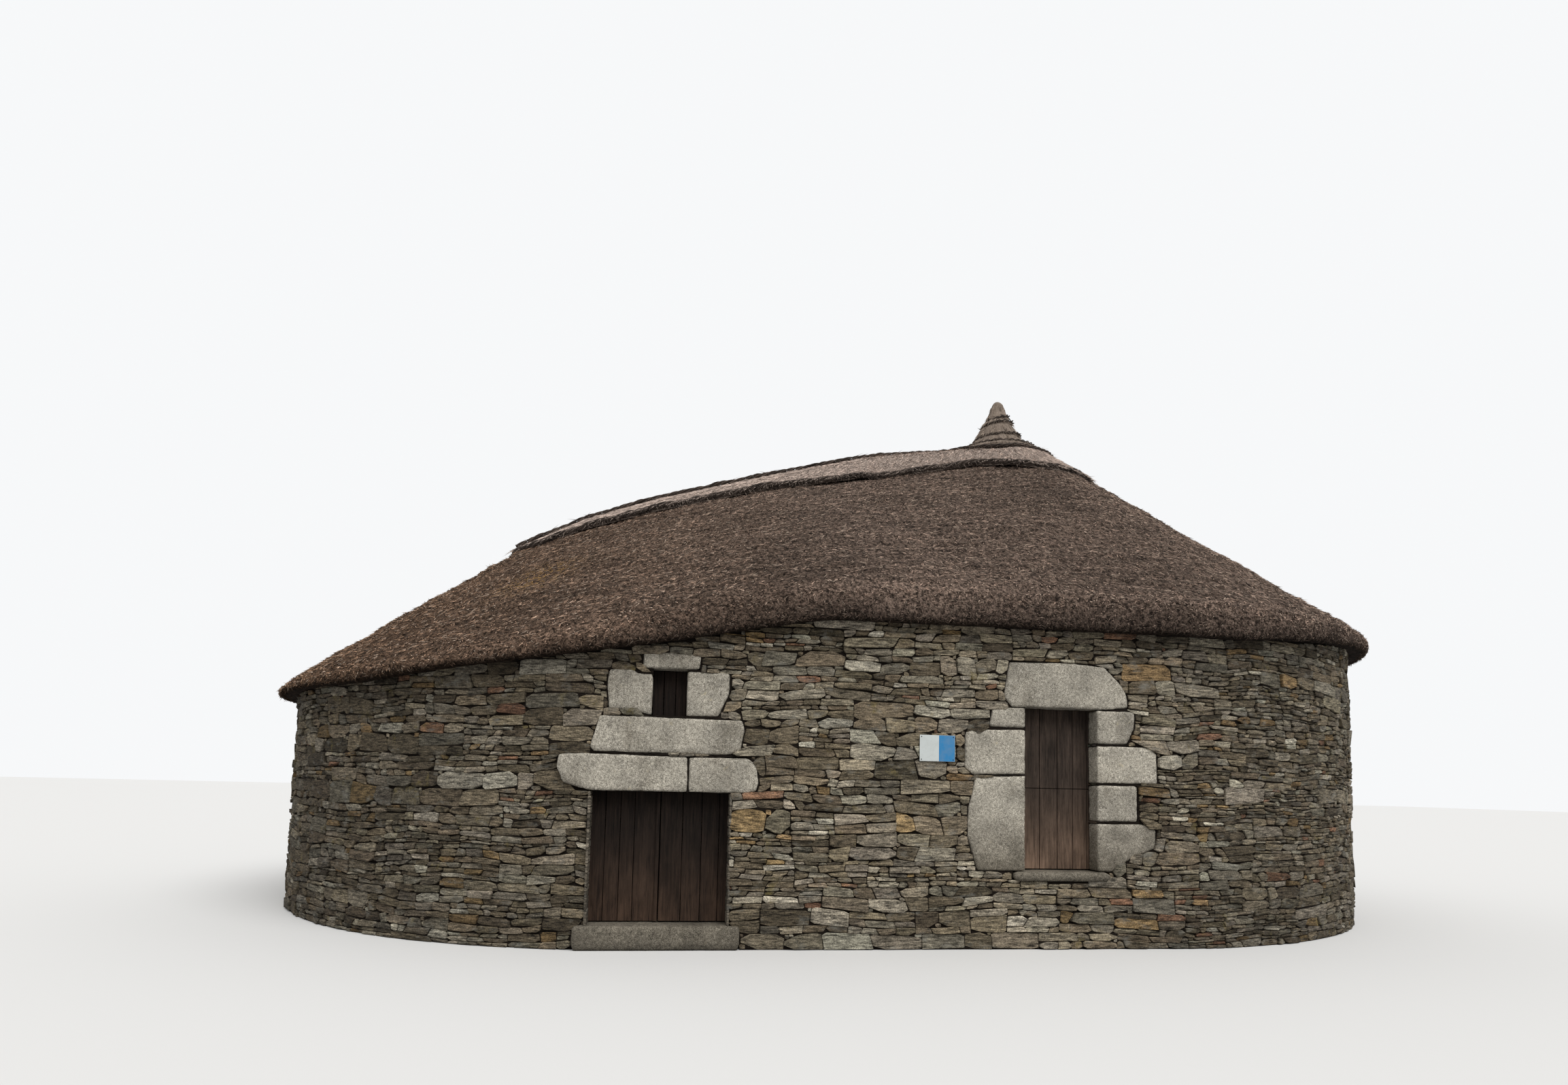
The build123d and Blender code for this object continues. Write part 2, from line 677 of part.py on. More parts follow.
thatch.part.label = "thatch"
export_step(thatch.part, "parts/thatch.step")
ridge_cap.part.label = "ridge_cap"
export_step(ridge_cap.part, "parts/ridge_cap.step")
ridge_ropes.part.label = "ridge_ropes"
export_step(ridge_ropes.part, "parts/ridge_ropes.step")
finial.part.label = "finial"
export_step(finial.part, "parts/finial.step")
finial_rings.part.label = "finial_rings"
export_step(finial_rings.part, "parts/finial_rings.step")
ridge_beam.part.label = "ridge_beam"
export_step(ridge_beam.part, "parts/ridge_beam.step")
rafters_middle.part.label = "rafters_middle"
export_step(rafters_middle.part, "parts/rafters_middle.step")
rafters_right.part.label = "rafters_right"
export_step(rafters_right.part, "parts/rafters_right.step")
rafters_left.part.label = "rafters_left"
export_step(rafters_left.part, "parts/rafters_left.step")
wall_front_left.part.label = "wall_front_left"
export_step(wall_front_left.part, "parts/wall_front_left.step")
wall_front_middle.part.label = "wall_front_middle"
export_step(wall_front_middle.part, "parts/wall_front_middle.step")
wall_front_right.part.label = "wall_front_right"
export_step(wall_front_right.part, "parts/wall_front_right.step")
wall_right_end.part.label = "wall_right_end"
export_step(wall_right_end.part, "parts/wall_right_end.step")
wall_back_right.part.label = "wall_back_right"
export_step(wall_back_right.part, "parts/wall_back_right.step")
wall_back_left.part.label = "wall_back_left"
export_step(wall_back_left.part, "parts/wall_back_left.step")
wall_left_end.part.label = "wall_left_end"
export_step(wall_left_end.part, "parts/wall_left_end.step")
wall_over_house_door.part.label = "wall_over_house_door"
export_step(wall_over_house_door.part, "parts/wall_over_house_door.step")
wall_under_house_door.part.label = "wall_under_house_door"
export_step(wall_under_house_door.part, "parts/wall_under_house_door.step")
wall_over_stable_door.part.label = "wall_over_stable_door"
export_step(wall_over_stable_door.part, "parts/wall_over_stable_door.step")
house_lintel.part.label = "house_lintel"
export_step(house_lintel.part, "parts/house_lintel.step")
house_jamb_left.part.label = "house_jamb_left"
export_step(house_jamb_left.part, "parts/house_jamb_left.step")
house_jamb_right.part.label = "house_jamb_right"
export_step(house_jamb_right.part, "parts/house_jamb_right.step")
house_sill.part.label = "house_sill"
export_step(house_sill.part, "parts/house_sill.step")
stable_lintels.part.label = "stable_lintels"
export_step(stable_lintels.part, "parts/stable_lintels.step")
stable_upper_lintel.part.label = "stable_upper_lintel"
export_step(stable_upper_lintel.part, "parts/stable_upper_lintel.step")
stable_sill.part.label = "stable_sill"
export_step(stable_sill.part, "parts/stable_sill.step")
window_lintel.part.label = "window_lintel"
export_step(window_lintel.part, "parts/window_lintel.step")
window_jambs.part.label = "window_jambs"
export_step(window_jambs.part, "parts/window_jambs.step")
window_shutter.part.label = "window_shutter"
export_step(window_shutter.part, "parts/window_shutter.step")
house_floor.part.label = "house_floor"
export_step(house_floor.part, "parts/house_floor.step")
stable_floor.part.label = "stable_floor"
export_step(stable_floor.part, "parts/stable_floor.step")
house_door_lower.part.label = "house_door_lower"
export_step(house_door_lower.part, "parts/house_door_lower.step")
house_door_upper.part.label = "house_door_upper"
export_step(house_door_upper.part, "parts/house_door_upper.step")
house_lower_straps.part.label = "house_lower_straps"
export_step(house_lower_straps.part, "parts/house_lower_straps.step")
house_upper_straps.part.label = "house_upper_straps"
export_step(house_upper_straps.part, "parts/house_upper_straps.step")
house_pintles.part.label = "house_pintles"
export_step(house_pintles.part, "parts/house_pintles.step")
house_door_lock.part.label = "house_door_lock"
export_step(house_door_lock.part, "parts/house_door_lock.step")
stable_door_left.part.label = "stable_door_left"
export_step(stable_door_left.part, "parts/stable_door_left.step")
stable_door_right.part.label = "stable_door_right"
export_step(stable_door_right.part, "parts/stable_door_right.step")
stable_left_straps.part.label = "stable_left_straps"
export_step(stable_left_straps.part, "parts/stable_left_straps.step")
stable_right_straps.part.label = "stable_right_straps"
export_step(stable_right_straps.part, "parts/stable_right_straps.step")
stable_pintles.part.label = "stable_pintles"
export_step(stable_pintles.part, "parts/stable_pintles.step")
info_sign.part.label = "info_sign"
export_step(info_sign.part, "parts/info_sign.step")
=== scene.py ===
import math

import bpy
import bmesh
import numpy as np
from mathutils import Matrix, Vector
from mathutils.bvhtree import BVHTree


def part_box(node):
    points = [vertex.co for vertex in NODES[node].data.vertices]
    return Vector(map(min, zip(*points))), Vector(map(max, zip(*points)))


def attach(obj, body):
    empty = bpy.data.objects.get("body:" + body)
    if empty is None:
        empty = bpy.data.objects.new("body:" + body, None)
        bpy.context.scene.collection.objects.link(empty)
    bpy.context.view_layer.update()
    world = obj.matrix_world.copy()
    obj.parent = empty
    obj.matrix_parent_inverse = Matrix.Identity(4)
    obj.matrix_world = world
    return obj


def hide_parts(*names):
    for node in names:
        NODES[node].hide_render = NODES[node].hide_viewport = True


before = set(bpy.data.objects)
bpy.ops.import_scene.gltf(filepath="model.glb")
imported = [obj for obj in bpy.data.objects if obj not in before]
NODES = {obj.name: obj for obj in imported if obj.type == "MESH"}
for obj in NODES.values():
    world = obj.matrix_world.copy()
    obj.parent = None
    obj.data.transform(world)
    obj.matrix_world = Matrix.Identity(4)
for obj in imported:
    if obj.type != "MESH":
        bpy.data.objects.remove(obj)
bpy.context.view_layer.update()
rng = np.random.default_rng(11)

# Sizes shared with the solids, in metres
END_X = 3.0              # centres of the two round ends
HIP_X = -5.37            # left end of the ridge
WALL_R = 5.25            # outer wall face, from the end centres and from the long axis
WALL_T = 0.9
EAVE_R = 5.5
CAP_X = [-5.43, -3.0, -1.2, 0.0, 3.0]
CAP_Y = [0.26, 0.75, 0.90, 1.30, 1.40]      # half width of the straw cap at each CAP_X
CAP_R = 1.65
HD_X, HD_HALF, HD_SILL, HD_HEAD = 1.74, 0.436, 0.87, 2.743
SD_X, SD_HALF, SD_SILL, SD_HEAD = -2.825, 0.75, 0.26, 1.684
WIN_X, WIN_HALF, WIN_LOW, WIN_TOP = -2.765, 0.185, 2.512, 3.025
HD_PASSAGE, HD_CEIL = 0.60, 2.815           # half width and ceiling behind the house door
SD_PASSAGE, SD_CEIL = 0.96, 1.76            # and behind the stable door
STEP_X = -0.9                               # edge of the upper floor
JAMB_Y = -5.08                              # granite in front of this is worn


# Numbers and meshes

def lattice(ix, iy, iz, seed):
    h = (ix * 374761393 + iy * 668265263 + iz * 1442695041 + seed * 1274126177) & 0xFFFFFFFF
    h = ((h ^ (h >> 13)) * 1103515245) & 0xFFFFFFFF
    return ((h ^ (h >> 16)) & 0xFFFF) / 32767.5 - 1.0


def vnoise(p, seed):
    """Smooth value noise in -1..1 at points p (..., 3)."""
    f = np.floor(p)
    i = f.astype(np.int64)
    t = p - f
    t = t * t * (3 - 2 * t)
    out = 0.0
    for corner in np.ndindex(2, 2, 2):
        x, y, z = (t[..., k] if corner[k] else 1 - t[..., k] for k in range(3))
        out = out + x * y * z * lattice(*(i[..., k] + corner[k] for k in range(3)), seed)
    return out


def fnoise(p, seed):
    """Three octaves of that noise."""
    return sum(0.5 ** k * vnoise(p * 2.03 ** k, seed + 17 * k) for k in range(3)) / 1.75


def unit(v):
    return v / np.maximum(np.linalg.norm(v, axis=-1, keepdims=True), 1e-9)


def distance_along(path):
    return np.r_[0, np.cumsum(np.linalg.norm(np.diff(path, axis=0), axis=1))]


def tube(rows, sides, hub=False):
    """Triangles of a closed tube of rings. With hub its end rises to one more point."""
    tris = []
    for a in range(0, (rows - 1) * sides, sides):
        for i in range(sides):
            j = (i + 1) % sides
            tris += [(a + i, a + j, a + sides + j), (a + i, a + sides + j, a + sides + i)]
    last = (rows - 1) * sides
    if hub:
        tris += [(last + i, last + (i + 1) % sides, last + sides) for i in range(sides)]
    else:
        tris += [(last, last + i, last + i + 1) for i in range(1, sides - 1)]
    tris += [(0, i + 1, i) for i in range(1, sides - 1)]
    return np.array(tris)


def repeated(tris, count, per):
    """The same triangles for count bodies of per points each."""
    return (tris[None] + np.arange(count)[:, None, None] * per).reshape(-1, 3)


def join(parts):
    """Several sets of points, triangles and, where they have them, colours as one."""
    starts = np.cumsum([0] + [len(part[0]) for part in parts])
    moved = [(part[0], np.asarray(part[1]) + start, *part[2:]) for part, start in zip(parts, starts)]
    return [np.vstack(column) for column in zip(*moved)]


def mesh_object(name, verts, tris, tint=None, material=None, smooth=False):
    """Mesh from arrays of points, triangles and, where given, one colour a point."""
    tris = np.asarray(tris, np.int32)
    mesh = bpy.data.meshes.new(name)
    mesh.vertices.add(len(verts))
    mesh.vertices.foreach_set("co", np.asarray(verts, np.float32).ravel())
    mesh.loops.add(tris.size)
    mesh.loops.foreach_set("vertex_index", tris.ravel())
    mesh.polygons.add(len(tris))
    mesh.polygons.foreach_set("loop_start", np.arange(0, tris.size, 3, dtype=np.int32))
    mesh.update(calc_edges=True)
    if tint is not None:
        rgba = np.ones((len(verts), 4), np.float32)
        rgba[:, :3] = tint
        layer = mesh.color_attributes.new("tint", "FLOAT_COLOR", "POINT")
        layer.data.foreach_set("color", rgba.ravel())
    mesh.polygons.foreach_set("use_smooth", np.full(len(tris), smooth, bool))
    mesh.materials.append(material)
    obj = bpy.data.objects.new(name, mesh)
    bpy.context.scene.collection.objects.link(obj)
    return obj


def piece(name, shape, material, slot, *replaced, body="house", smooth=False):
    """A finished piece rides on its body and may stand for CAD nodes; slot is not used."""
    obj = mesh_object(name, *shape, material=material, smooth=smooth)
    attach(obj, body)
    if replaced:
        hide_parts(*replaced)
    return obj


def dress(material, *names):
    """CAD nodes that keep their own mesh take a material."""
    for name in names:
        NODES[name].data.materials.clear()
        NODES[name].data.materials.append(material)


def points_of(mesh, key="co"):
    values = np.empty(len(mesh.vertices) * 3, np.float32)
    mesh.vertices.foreach_get(key, values)
    return values.reshape(-1, 3).astype(float)


def triangles_of(mesh):
    mesh.calc_loop_triangles()
    values = np.empty(len(mesh.loop_triangles) * 3, np.int32)
    mesh.loop_triangles.foreach_get("vertices", values)
    return values.reshape(-1, 3)


def tree_of(*names):
    meshes = [NODES[name].data for name in names]
    verts, tris = join([(points_of(mesh), triangles_of(mesh)) for mesh in meshes])
    return BVHTree.FromPolygons(verts.tolist(), tris.tolist())


def drop(tree, x, y, z_from=12.0, down=True):
    """Height where a plumb ray meets the tree, and the face normal, or None."""
    hit = tree.ray_cast(Vector((x, y, z_from)), Vector((0, 0, -1 if down else 1)))
    return (hit[0].z, hit[1]) if hit[0] else None


# Materials

class Nodes:
    """Short calls that add nodes to one tree and give back their outputs."""

    def __init__(self, tree):
        self.tree = tree

    def feed(self, value, socket):
        if isinstance(value, bpy.types.NodeSocket):
            self.tree.links.new(value, socket)
        else:
            socket.default_value = value

    def add(self, kind, inputs, output, **settings):
        node = self.tree.nodes.new("ShaderNode" + kind)
        for key, value in settings.items():
            setattr(node, key, value)
        for key, value in inputs.items():
            self.feed(value, node.inputs[key])
        return node.outputs[output]

    def coords(self, *scale):
        plain = self.add("TexCoord", {}, "Object")
        return self.add("Mapping", {"Vector": plain, "Scale": scale or (1, 1, 1)}, "Vector")

    def xyz(self):
        node = self.tree.nodes.new("ShaderNodeSeparateXYZ")
        self.feed(self.coords(), node.inputs["Vector"])
        return node.outputs

    def noise(self, vec, scale, detail, rough, distort=0.0):
        inputs = {"Vector": vec, "Scale": scale, "Detail": detail, "Roughness": rough, "Distortion": distort}
        return self.add("TexNoise", inputs, "Fac")

    def ramp(self, fac, *stops):
        """Colour ramp from (position, colour) or (position, grey) stops."""
        node = self.tree.nodes.new("ShaderNodeValToRGB")
        elements = node.color_ramp.elements
        while len(elements) < len(stops):
            elements.new(0.5)
        for element, (pos, value) in zip(elements, stops):
            element.position = pos
            element.color = (*value, 1) if isinstance(value, tuple) else (value, value, value, 1)
        self.feed(fac, node.inputs["Fac"])
        return node.outputs["Color"]

    def mix(self, fac, a, b, blend="MIX"):
        a, b = (c if isinstance(c, bpy.types.NodeSocket) else (*c, 1) for c in (a, b))
        return self.add("Mix", {"Factor": fac, "A": a, "B": b}, "Result", data_type="RGBA", blend_type=blend)

    def times(self, a, b, fac=1.0):
        return self.mix(fac, a, b, "MULTIPLY")

    def calc(self, operation, *values):
        node = self.tree.nodes.new("ShaderNodeMath")
        node.operation = operation
        for value, socket in zip(values, node.inputs):
            self.feed(value, socket)
        return node.outputs["Value"]


class Look(Nodes):
    """Nodes of a new material round one Principled shader."""

    def __init__(self, name, rough, specular):
        self.mat = bpy.data.materials.new(name)
        self.mat.use_nodes = True
        super().__init__(self.mat.node_tree)
        self.sockets = self.tree.nodes["Principled BSDF"].inputs
        self.feed(rough, self.sockets["Roughness"])
        self.feed(specular, self.sockets["Specular IOR Level"])

    def tint(self):
        return self.add("Attribute", {}, "Color", attribute_name="tint")

    def done(self, colour, height=None, strength=1.0, distance=0.0):
        self.feed(colour, self.sockets["Base Color"])
        if height is not None:
            inputs = {"Strength": strength, "Distance": distance, "Height": height}
            self.feed(self.add("Bump", inputs, "Normal"), self.sockets["Normal"])
        return self.mat


def thatch_look(name):
    m = Look(name, 0.95, 0.1)
    plain = m.coords()
    fine = m.noise(plain, 22, 6, 0.8)
    patch = m.noise(plain, 2.6, 4, 0.6)
    colour = m.times(m.tint(), m.ramp(fine, (0.41, 0.15), (0.5, 0.80), (0.59, 2.0)))
    colour = m.times(colour, m.ramp(patch, (0.3, 0.78), (0.7, 1.2)))
    return m.done(colour, fine, 1.0, 0.03)


def schist_look(name):
    """Split stone: fine level layers, speckle, and a little yellow lichen."""
    m = Look(name, 0.88, 0.25)
    plain = m.coords()
    layers = m.noise(m.coords(1, 1, 5.5), 9, 6, 0.7, 0.4)
    speck = m.noise(plain, 70, 4, 0.7)
    blotch = m.noise(m.coords(1, 1, 1.8), 5, 5, 0.65)
    lichen = m.noise(plain, 3.4, 7, 0.72)
    colour = m.times(m.tint(), m.ramp(layers, (0.34, 0.12), (0.5, 0.92), (0.67, 2.0)))
    colour = m.times(colour, m.ramp(speck, (0.34, 0.32), (0.5, 1.0), (0.68, 1.75)), 0.8)
    colour = m.mix(m.ramp(blotch, (0.56, 0.0), (0.72, 0.55)), colour, (0.30, 0.29, 0.25))
    colour = m.mix(m.ramp(lichen, (0.60, 0.0), (0.70, 0.55)), colour, (0.26, 0.205, 0.07))
    return m.done(colour, m.calc("ADD", layers, m.calc("MULTIPLY", speck, 0.45)), 1.0, 0.022)


def core_look(name):
    """Wall behind and between the facing stones: near black at the faces as painted shade of the deep gaps
    between the stones, rubble inside the passages.
    """
    m = Look(name, 0.95, 0.1)
    cells = {"Vector": m.coords(1, 1, 2.6), "Scale": 3.6, "Randomness": 0.8}
    from_edge = m.add("TexVoronoi", cells, "Distance", feature="DISTANCE_TO_EDGE")
    joint = m.ramp(from_edge, (0.0, 0.0), (0.07, 1.0))
    grain = m.noise(m.coords(1, 1, 5), 14, 6, 0.7)
    rubble = m.times((0.13, 0.11, 0.085), m.add("TexVoronoi", cells, "Color"), 0.35)
    rubble = m.times(rubble, m.ramp(grain, (0.3, 0.5), (0.7, 1.5)))
    rubble = m.mix(joint, (0.014, 0.011, 0.008), rubble)
    x, y, z = m.xyz()
    past_end = m.calc("MAXIMUM", m.calc("SUBTRACT", m.calc("ABSOLUTE", x), END_X), 0.0)
    radius = m.calc("SQRT", m.calc("ADD", m.calc("MULTIPLY", past_end, past_end), m.calc("MULTIPLY", y, y)))
    from_middle = m.calc("ABSOLUTE", m.calc("SUBTRACT", radius, WALL_R - WALL_T / 2))
    # Painted shade: within 12 mm of either face the core is near black, for the shade in the gaps between the
    # stones.
    painted_gap_shade = m.calc("GREATER_THAN", from_middle, WALL_T / 2 - 0.012)
    return m.done(m.mix(painted_gap_shade, rubble, (0.016, 0.012, 0.009)), m.calc("ADD", joint, grain), 0.8, 0.02)


def granite_look(name):
    """Grey blocks with crystals, clouds, stains, lichen, and dark feet."""
    m = Look(name, 0.85, 0.3)
    plain = m.coords()
    grain = m.noise(plain, 30, 5, 0.85)
    crystals = m.noise(plain, 120, 2, 0.6)
    cloud = m.noise(plain, 3.2, 6, 0.62)
    stain = m.noise(m.coords(1, 1, 0.7), 1.7, 6, 0.7)
    lichen = m.noise(plain, 7.5, 6, 0.75)
    colour = m.times(m.ramp(grain, (0.3, (0.12, 0.108, 0.088)), (0.42, (0.33, 0.305, 0.255)),
                            (0.56, (0.56, 0.52, 0.44)), (0.70, (0.80, 0.76, 0.67))), m.tint())
    colour = m.times(colour, m.ramp(crystals, (0.34, 0.45), (0.5, 1.0), (0.66, 1.4)), 0.8)
    colour = m.times(colour, m.ramp(cloud, (0.3, 0.68), (0.7, 1.22)))
    colour = m.mix(m.ramp(stain, (0.52, 0.0), (0.7, 0.75)), colour, m.times(colour, (0.42, 0.40, 0.37)))
    colour = m.mix(m.ramp(lichen, (0.64, 0.0), (0.7, 0.5)), colour, (0.40, 0.31, 0.13))
    x, y, z = m.xyz()
    low = m.calc("MULTIPLY", m.calc("ADD", z, m.calc("MULTIPLY", cloud, 0.5)), 0.5)
    colour = m.mix(m.ramp(low, (0.60, 0.9), (0.90, 0.0)), colour, m.times(colour, (0.36, 0.34, 0.31)))
    return m.done(colour, m.calc("ADD", grain, m.calc("MULTIPLY", cloud, 1.5)), 0.8, 0.012)


def wood_look(name, dark, light, scale=(9, 9, 0.55), low_z=None):
    """Weathered boards: long grain, cracks and, where low_z is given, paler feet with darker boards above
    them, that darkening partly darker wood and partly painted shade under the lintel.
    """
    m = Look(name, 0.82, 0.2)
    grain = m.noise(m.coords(*scale), 5.5, 6, 0.65, 0.3)
    cracks = m.noise(m.coords(*(2.4 * s for s in scale)), 6, 4, 0.8)
    wear = m.noise(m.coords(1.5, 1.5, 0.8), 3, 5, 0.6)
    colour = m.mix(m.ramp(grain, (0.32, 0.0), (0.68, 1.0)), dark, light)
    colour = m.times(colour, m.ramp(wear, (0.3, 0.6), (0.7, 1.35)))
    colour = m.times(colour, m.ramp(cracks, (0.30, 0.3), (0.42, 1.0), (1.0, 1.0)))
    if low_z is not None:
        x, y, z = m.xyz()
        ragged = m.calc("MULTIPLY", m.calc("SUBTRACT", grain, 0.5), 0.9)
        over_foot = m.calc("ADD", m.calc("SUBTRACT", z, low_z), ragged)
        # Paler feet, and above them darker boards: partly darker wood, partly painted shade under the lintel.
        pale_foot_shaded_top = m.ramp(over_foot, (0.0, 1.0), (0.55, 0.35), (1.0, 0.0))
        colour = m.mix(pale_foot_shaded_top, m.times(colour, (0.62, 0.60, 0.60)), m.times(colour, (2.3, 2.05, 1.85)))
    return m.done(colour, m.calc("ADD", grain, m.calc("MULTIPLY", cracks, 0.7)), 0.7, 0.006)


def strand_look(name, rough, contrast):
    m = Look(name, rough, 0.15)
    fine = m.noise(m.coords(), 60, 3, 0.7)
    colour = m.times(m.tint(), m.ramp(fine, (0.3, 1 - 0.4 * contrast), (0.7, 1 + 0.45 * contrast)))
    return m.done(colour, fine, 0.5, 0.008)


def iron_look(name):
    m = Look(name, 0.7, 0.4)
    rust = m.noise(m.coords(), 24, 5, 0.7)
    m.feed(m.ramp(rust, (0.4, 0.7), (0.65, 0.1)), m.sockets["Metallic"])
    colour = m.ramp(rust, (0.35, (0.018, 0.016, 0.015)), (0.6, (0.05, 0.035, 0.026)),
                    (0.75, (0.12, 0.055, 0.028)))
    return m.done(colour, rust, 0.5, 0.002)


def plate_look(name, colour):
    m = Look(name, 0.35, 0.45)
    dirt = m.noise(m.coords(), 9, 6, 0.7)
    return m.done(m.mix(m.ramp(dirt, (0.45, 0.0), (0.8, 0.35)), colour, (0.34, 0.33, 0.29)), dirt, 0.1, 0.002)


def straw_look(name):
    m = Look(name, 0.9, 0.15)
    grain = m.noise(m.coords(1, 1, 0.6), 38, 5, 0.75)
    colour = m.ramp(grain, (0.3, (0.06, 0.044, 0.034)), (0.5, (0.27, 0.215, 0.18)),
                    (0.70, (0.52, 0.43, 0.37)))
    return m.done(colour, grain, 0.9, 0.015)


M_THATCH = thatch_look("thatch_mat")
M_HEATHER = strand_look("heather_mat", 0.95, 1.0)
M_STRAW = straw_look("straw_mat")
M_STRAND = strand_look("straw_strand_mat", 0.85, 0.8)
M_WITHY = strand_look("withy_mat", 0.85, 1.1)
M_SCHIST = schist_look("schist_mat")
M_CORE = core_look("wall_core_mat")
M_GRANITE = granite_look("granite_mat")
M_HOUSE_WOOD = wood_look("house_door_mat", (0.030, 0.022, 0.017), (0.125, 0.092, 0.070), low_z=HD_SILL)
# Near-black stable boards: partly dark wood, partly painted shade under the lintel.
M_STABLE_WOOD = wood_look("stable_door_mat", (0.008, 0.0052, 0.0038), (0.042, 0.028, 0.020), low_z=SD_SILL)
M_SHUTTER = wood_look("shutter_mat", (0.006, 0.0045, 0.0035), (0.024, 0.015, 0.011))
M_TIMBER = wood_look("timber_mat", (0.05, 0.032, 0.02), (0.16, 0.11, 0.07), (0.55, 9, 9))
M_IRON = iron_look("iron_mat")
M_WHITE = plate_look("plate_white_mat", (0.66, 0.70, 0.68))
M_BLUE = plate_look("plate_blue_mat", (0.03, 0.24, 0.52))


# Camera, light and floor

PHOTO_W, FOCAL, SHIFT = 2000, 1103, 223     # in pixels of the photo at this width
YAW, TILT, ROLL = math.radians(7.5), math.radians(4.4), 0.0227
EYE = (-2.75, -14.74, 1.80)
ahead = Vector((math.sin(YAW), math.cos(YAW), 0))
right = Vector((math.cos(YAW), -math.sin(YAW), 0))
forward = ahead * math.cos(TILT) + Vector((0, 0, math.sin(TILT)))
up = Vector((0, 0, math.cos(TILT))) - ahead * math.sin(TILT)
cam_data = bpy.data.cameras.new("camera")
cam_data.sensor_width = 36
cam_data.lens = 36 * FOCAL / PHOTO_W
cam_data.shift_y = SHIFT / PHOTO_W
cam_data.clip_end = 400
camera = bpy.data.objects.new("camera", cam_data)
bpy.context.scene.collection.objects.link(camera)
matrix = Matrix((right * math.cos(ROLL) + up * math.sin(ROLL), up * math.cos(ROLL) - right * math.sin(ROLL),
                 -forward)).transposed().to_4x4()
matrix.translation = Vector(EYE)
camera.matrix_world = matrix
bpy.context.scene.camera = camera
bpy.context.scene.view_settings.view_transform = "Standard"

key_data = bpy.data.lights.new("key", "SUN")
key_data.energy = 2.0
key_data.angle = math.radians(50)
key = bpy.data.objects.new("key", key_data)
key.rotation_euler = Vector((0.35, -1.0, 1.25)).to_track_quat("Z", "Y").to_euler()
bpy.context.scene.collection.objects.link(key)

world = bpy.data.worlds.new("world")
bpy.context.scene.world = world
world.use_nodes = True
sky = Nodes(world.node_tree)
seen = sky.add("LightPath", {}, "Is Camera Ray")
back = sky.tree.nodes["Background"].inputs
sky.feed(sky.mix(seen, (0.60, 0.60, 0.60), (0.93, 0.94, 0.95)), back["Color"])
back["Strength"].default_value = 1.0

# Pale floor that the camera sees lighter than it lights the walls
ground = Look("floor_mat", 0.9, 0.1)
seen = ground.add("LightPath", {}, "Is Camera Ray")
ground.done(ground.mix(seen, (0.30, 0.30, 0.30), (0.80, 0.795, 0.78)))
floor = mesh_object("floor", [(-150, -150, 0), (150, -150, 0), (150, 150, 0), (-150, 150, 0)],
                    [(0, 1, 2), (0, 2, 3)], material=ground.mat)
floor.location.z = -0.004


# Plan of the walls: s runs along the outer face, from the left end of the straight front

roof_tree = tree_of("thatch")
STRAIGHT = 2 * END_X
LOOP = 2 * STRAIGHT + 2 * math.pi * WALL_R


def around(s, radius=WALL_R):
    """Centre and outward direction at distance s along the loop of this radius."""
    arc = math.pi * radius
    s = np.mod(np.asarray(s, float), 2 * STRAIGHT + 2 * arc)
    stretch = [s < STRAIGHT, s < STRAIGHT + arc, s < 2 * STRAIGHT + arc]
    quarter = math.pi / 2
    angle = np.select(stretch, [-quarter, (s - STRAIGHT) / radius - quarter, quarter],
                      quarter + (s - 2 * STRAIGHT - arc) / radius)
    cx = np.select(stretch, [s - END_X, END_X, 3 * END_X + arc - s], -END_X)
    return cx, np.cos(angle), np.sin(angle)


def on_wall(s, z, r):
    cx, dx, dy = around(s)
    return np.stack([cx + r * dx, r * dy, np.broadcast_to(z, cx.shape)], -1)


def x_of(s):
    """x of a front point from its distance s, which is negative round the left end."""
    s = np.asarray(s, float)
    level = np.clip(s, 0, STRAIGHT)
    return level - END_X + WALL_R * np.sin(np.clip((s - level) / WALL_R, -1.5, 1.5))


def s_of(x):
    inner = min(max(x, -END_X), END_X)
    return inner + END_X + WALL_R * math.asin(min(max((x - inner) / WALL_R, -1), 1))


# Map of the front wall where granite, doors and window stand, one cell a centimetre
CELL = 0.01
MAP_X0, MAP_X1, MAP_Z1 = -5.0, 3.6, 3.9
ROWS, COLS = int(MAP_Z1 / CELL), int((MAP_X1 - MAP_X0) / CELL)
taken = np.zeros((ROWS, COLS), bool)
GRANITE = ["house_lintel", "house_jamb_left", "house_jamb_right", "stable_lintels", "stable_upper_lintel",
           "window_lintel", "window_jambs", "house_sill", "stable_sill"]


def span(low, high, start, count):
    """Numbers of the map's cells from low to high."""
    return np.arange(max(0, int((low - start) / CELL)), min(count, int((high - start) / CELL) + 1))


def columns_at(x):
    return np.clip(((x - MAP_X0) / CELL).astype(int), 0, COLS - 1)


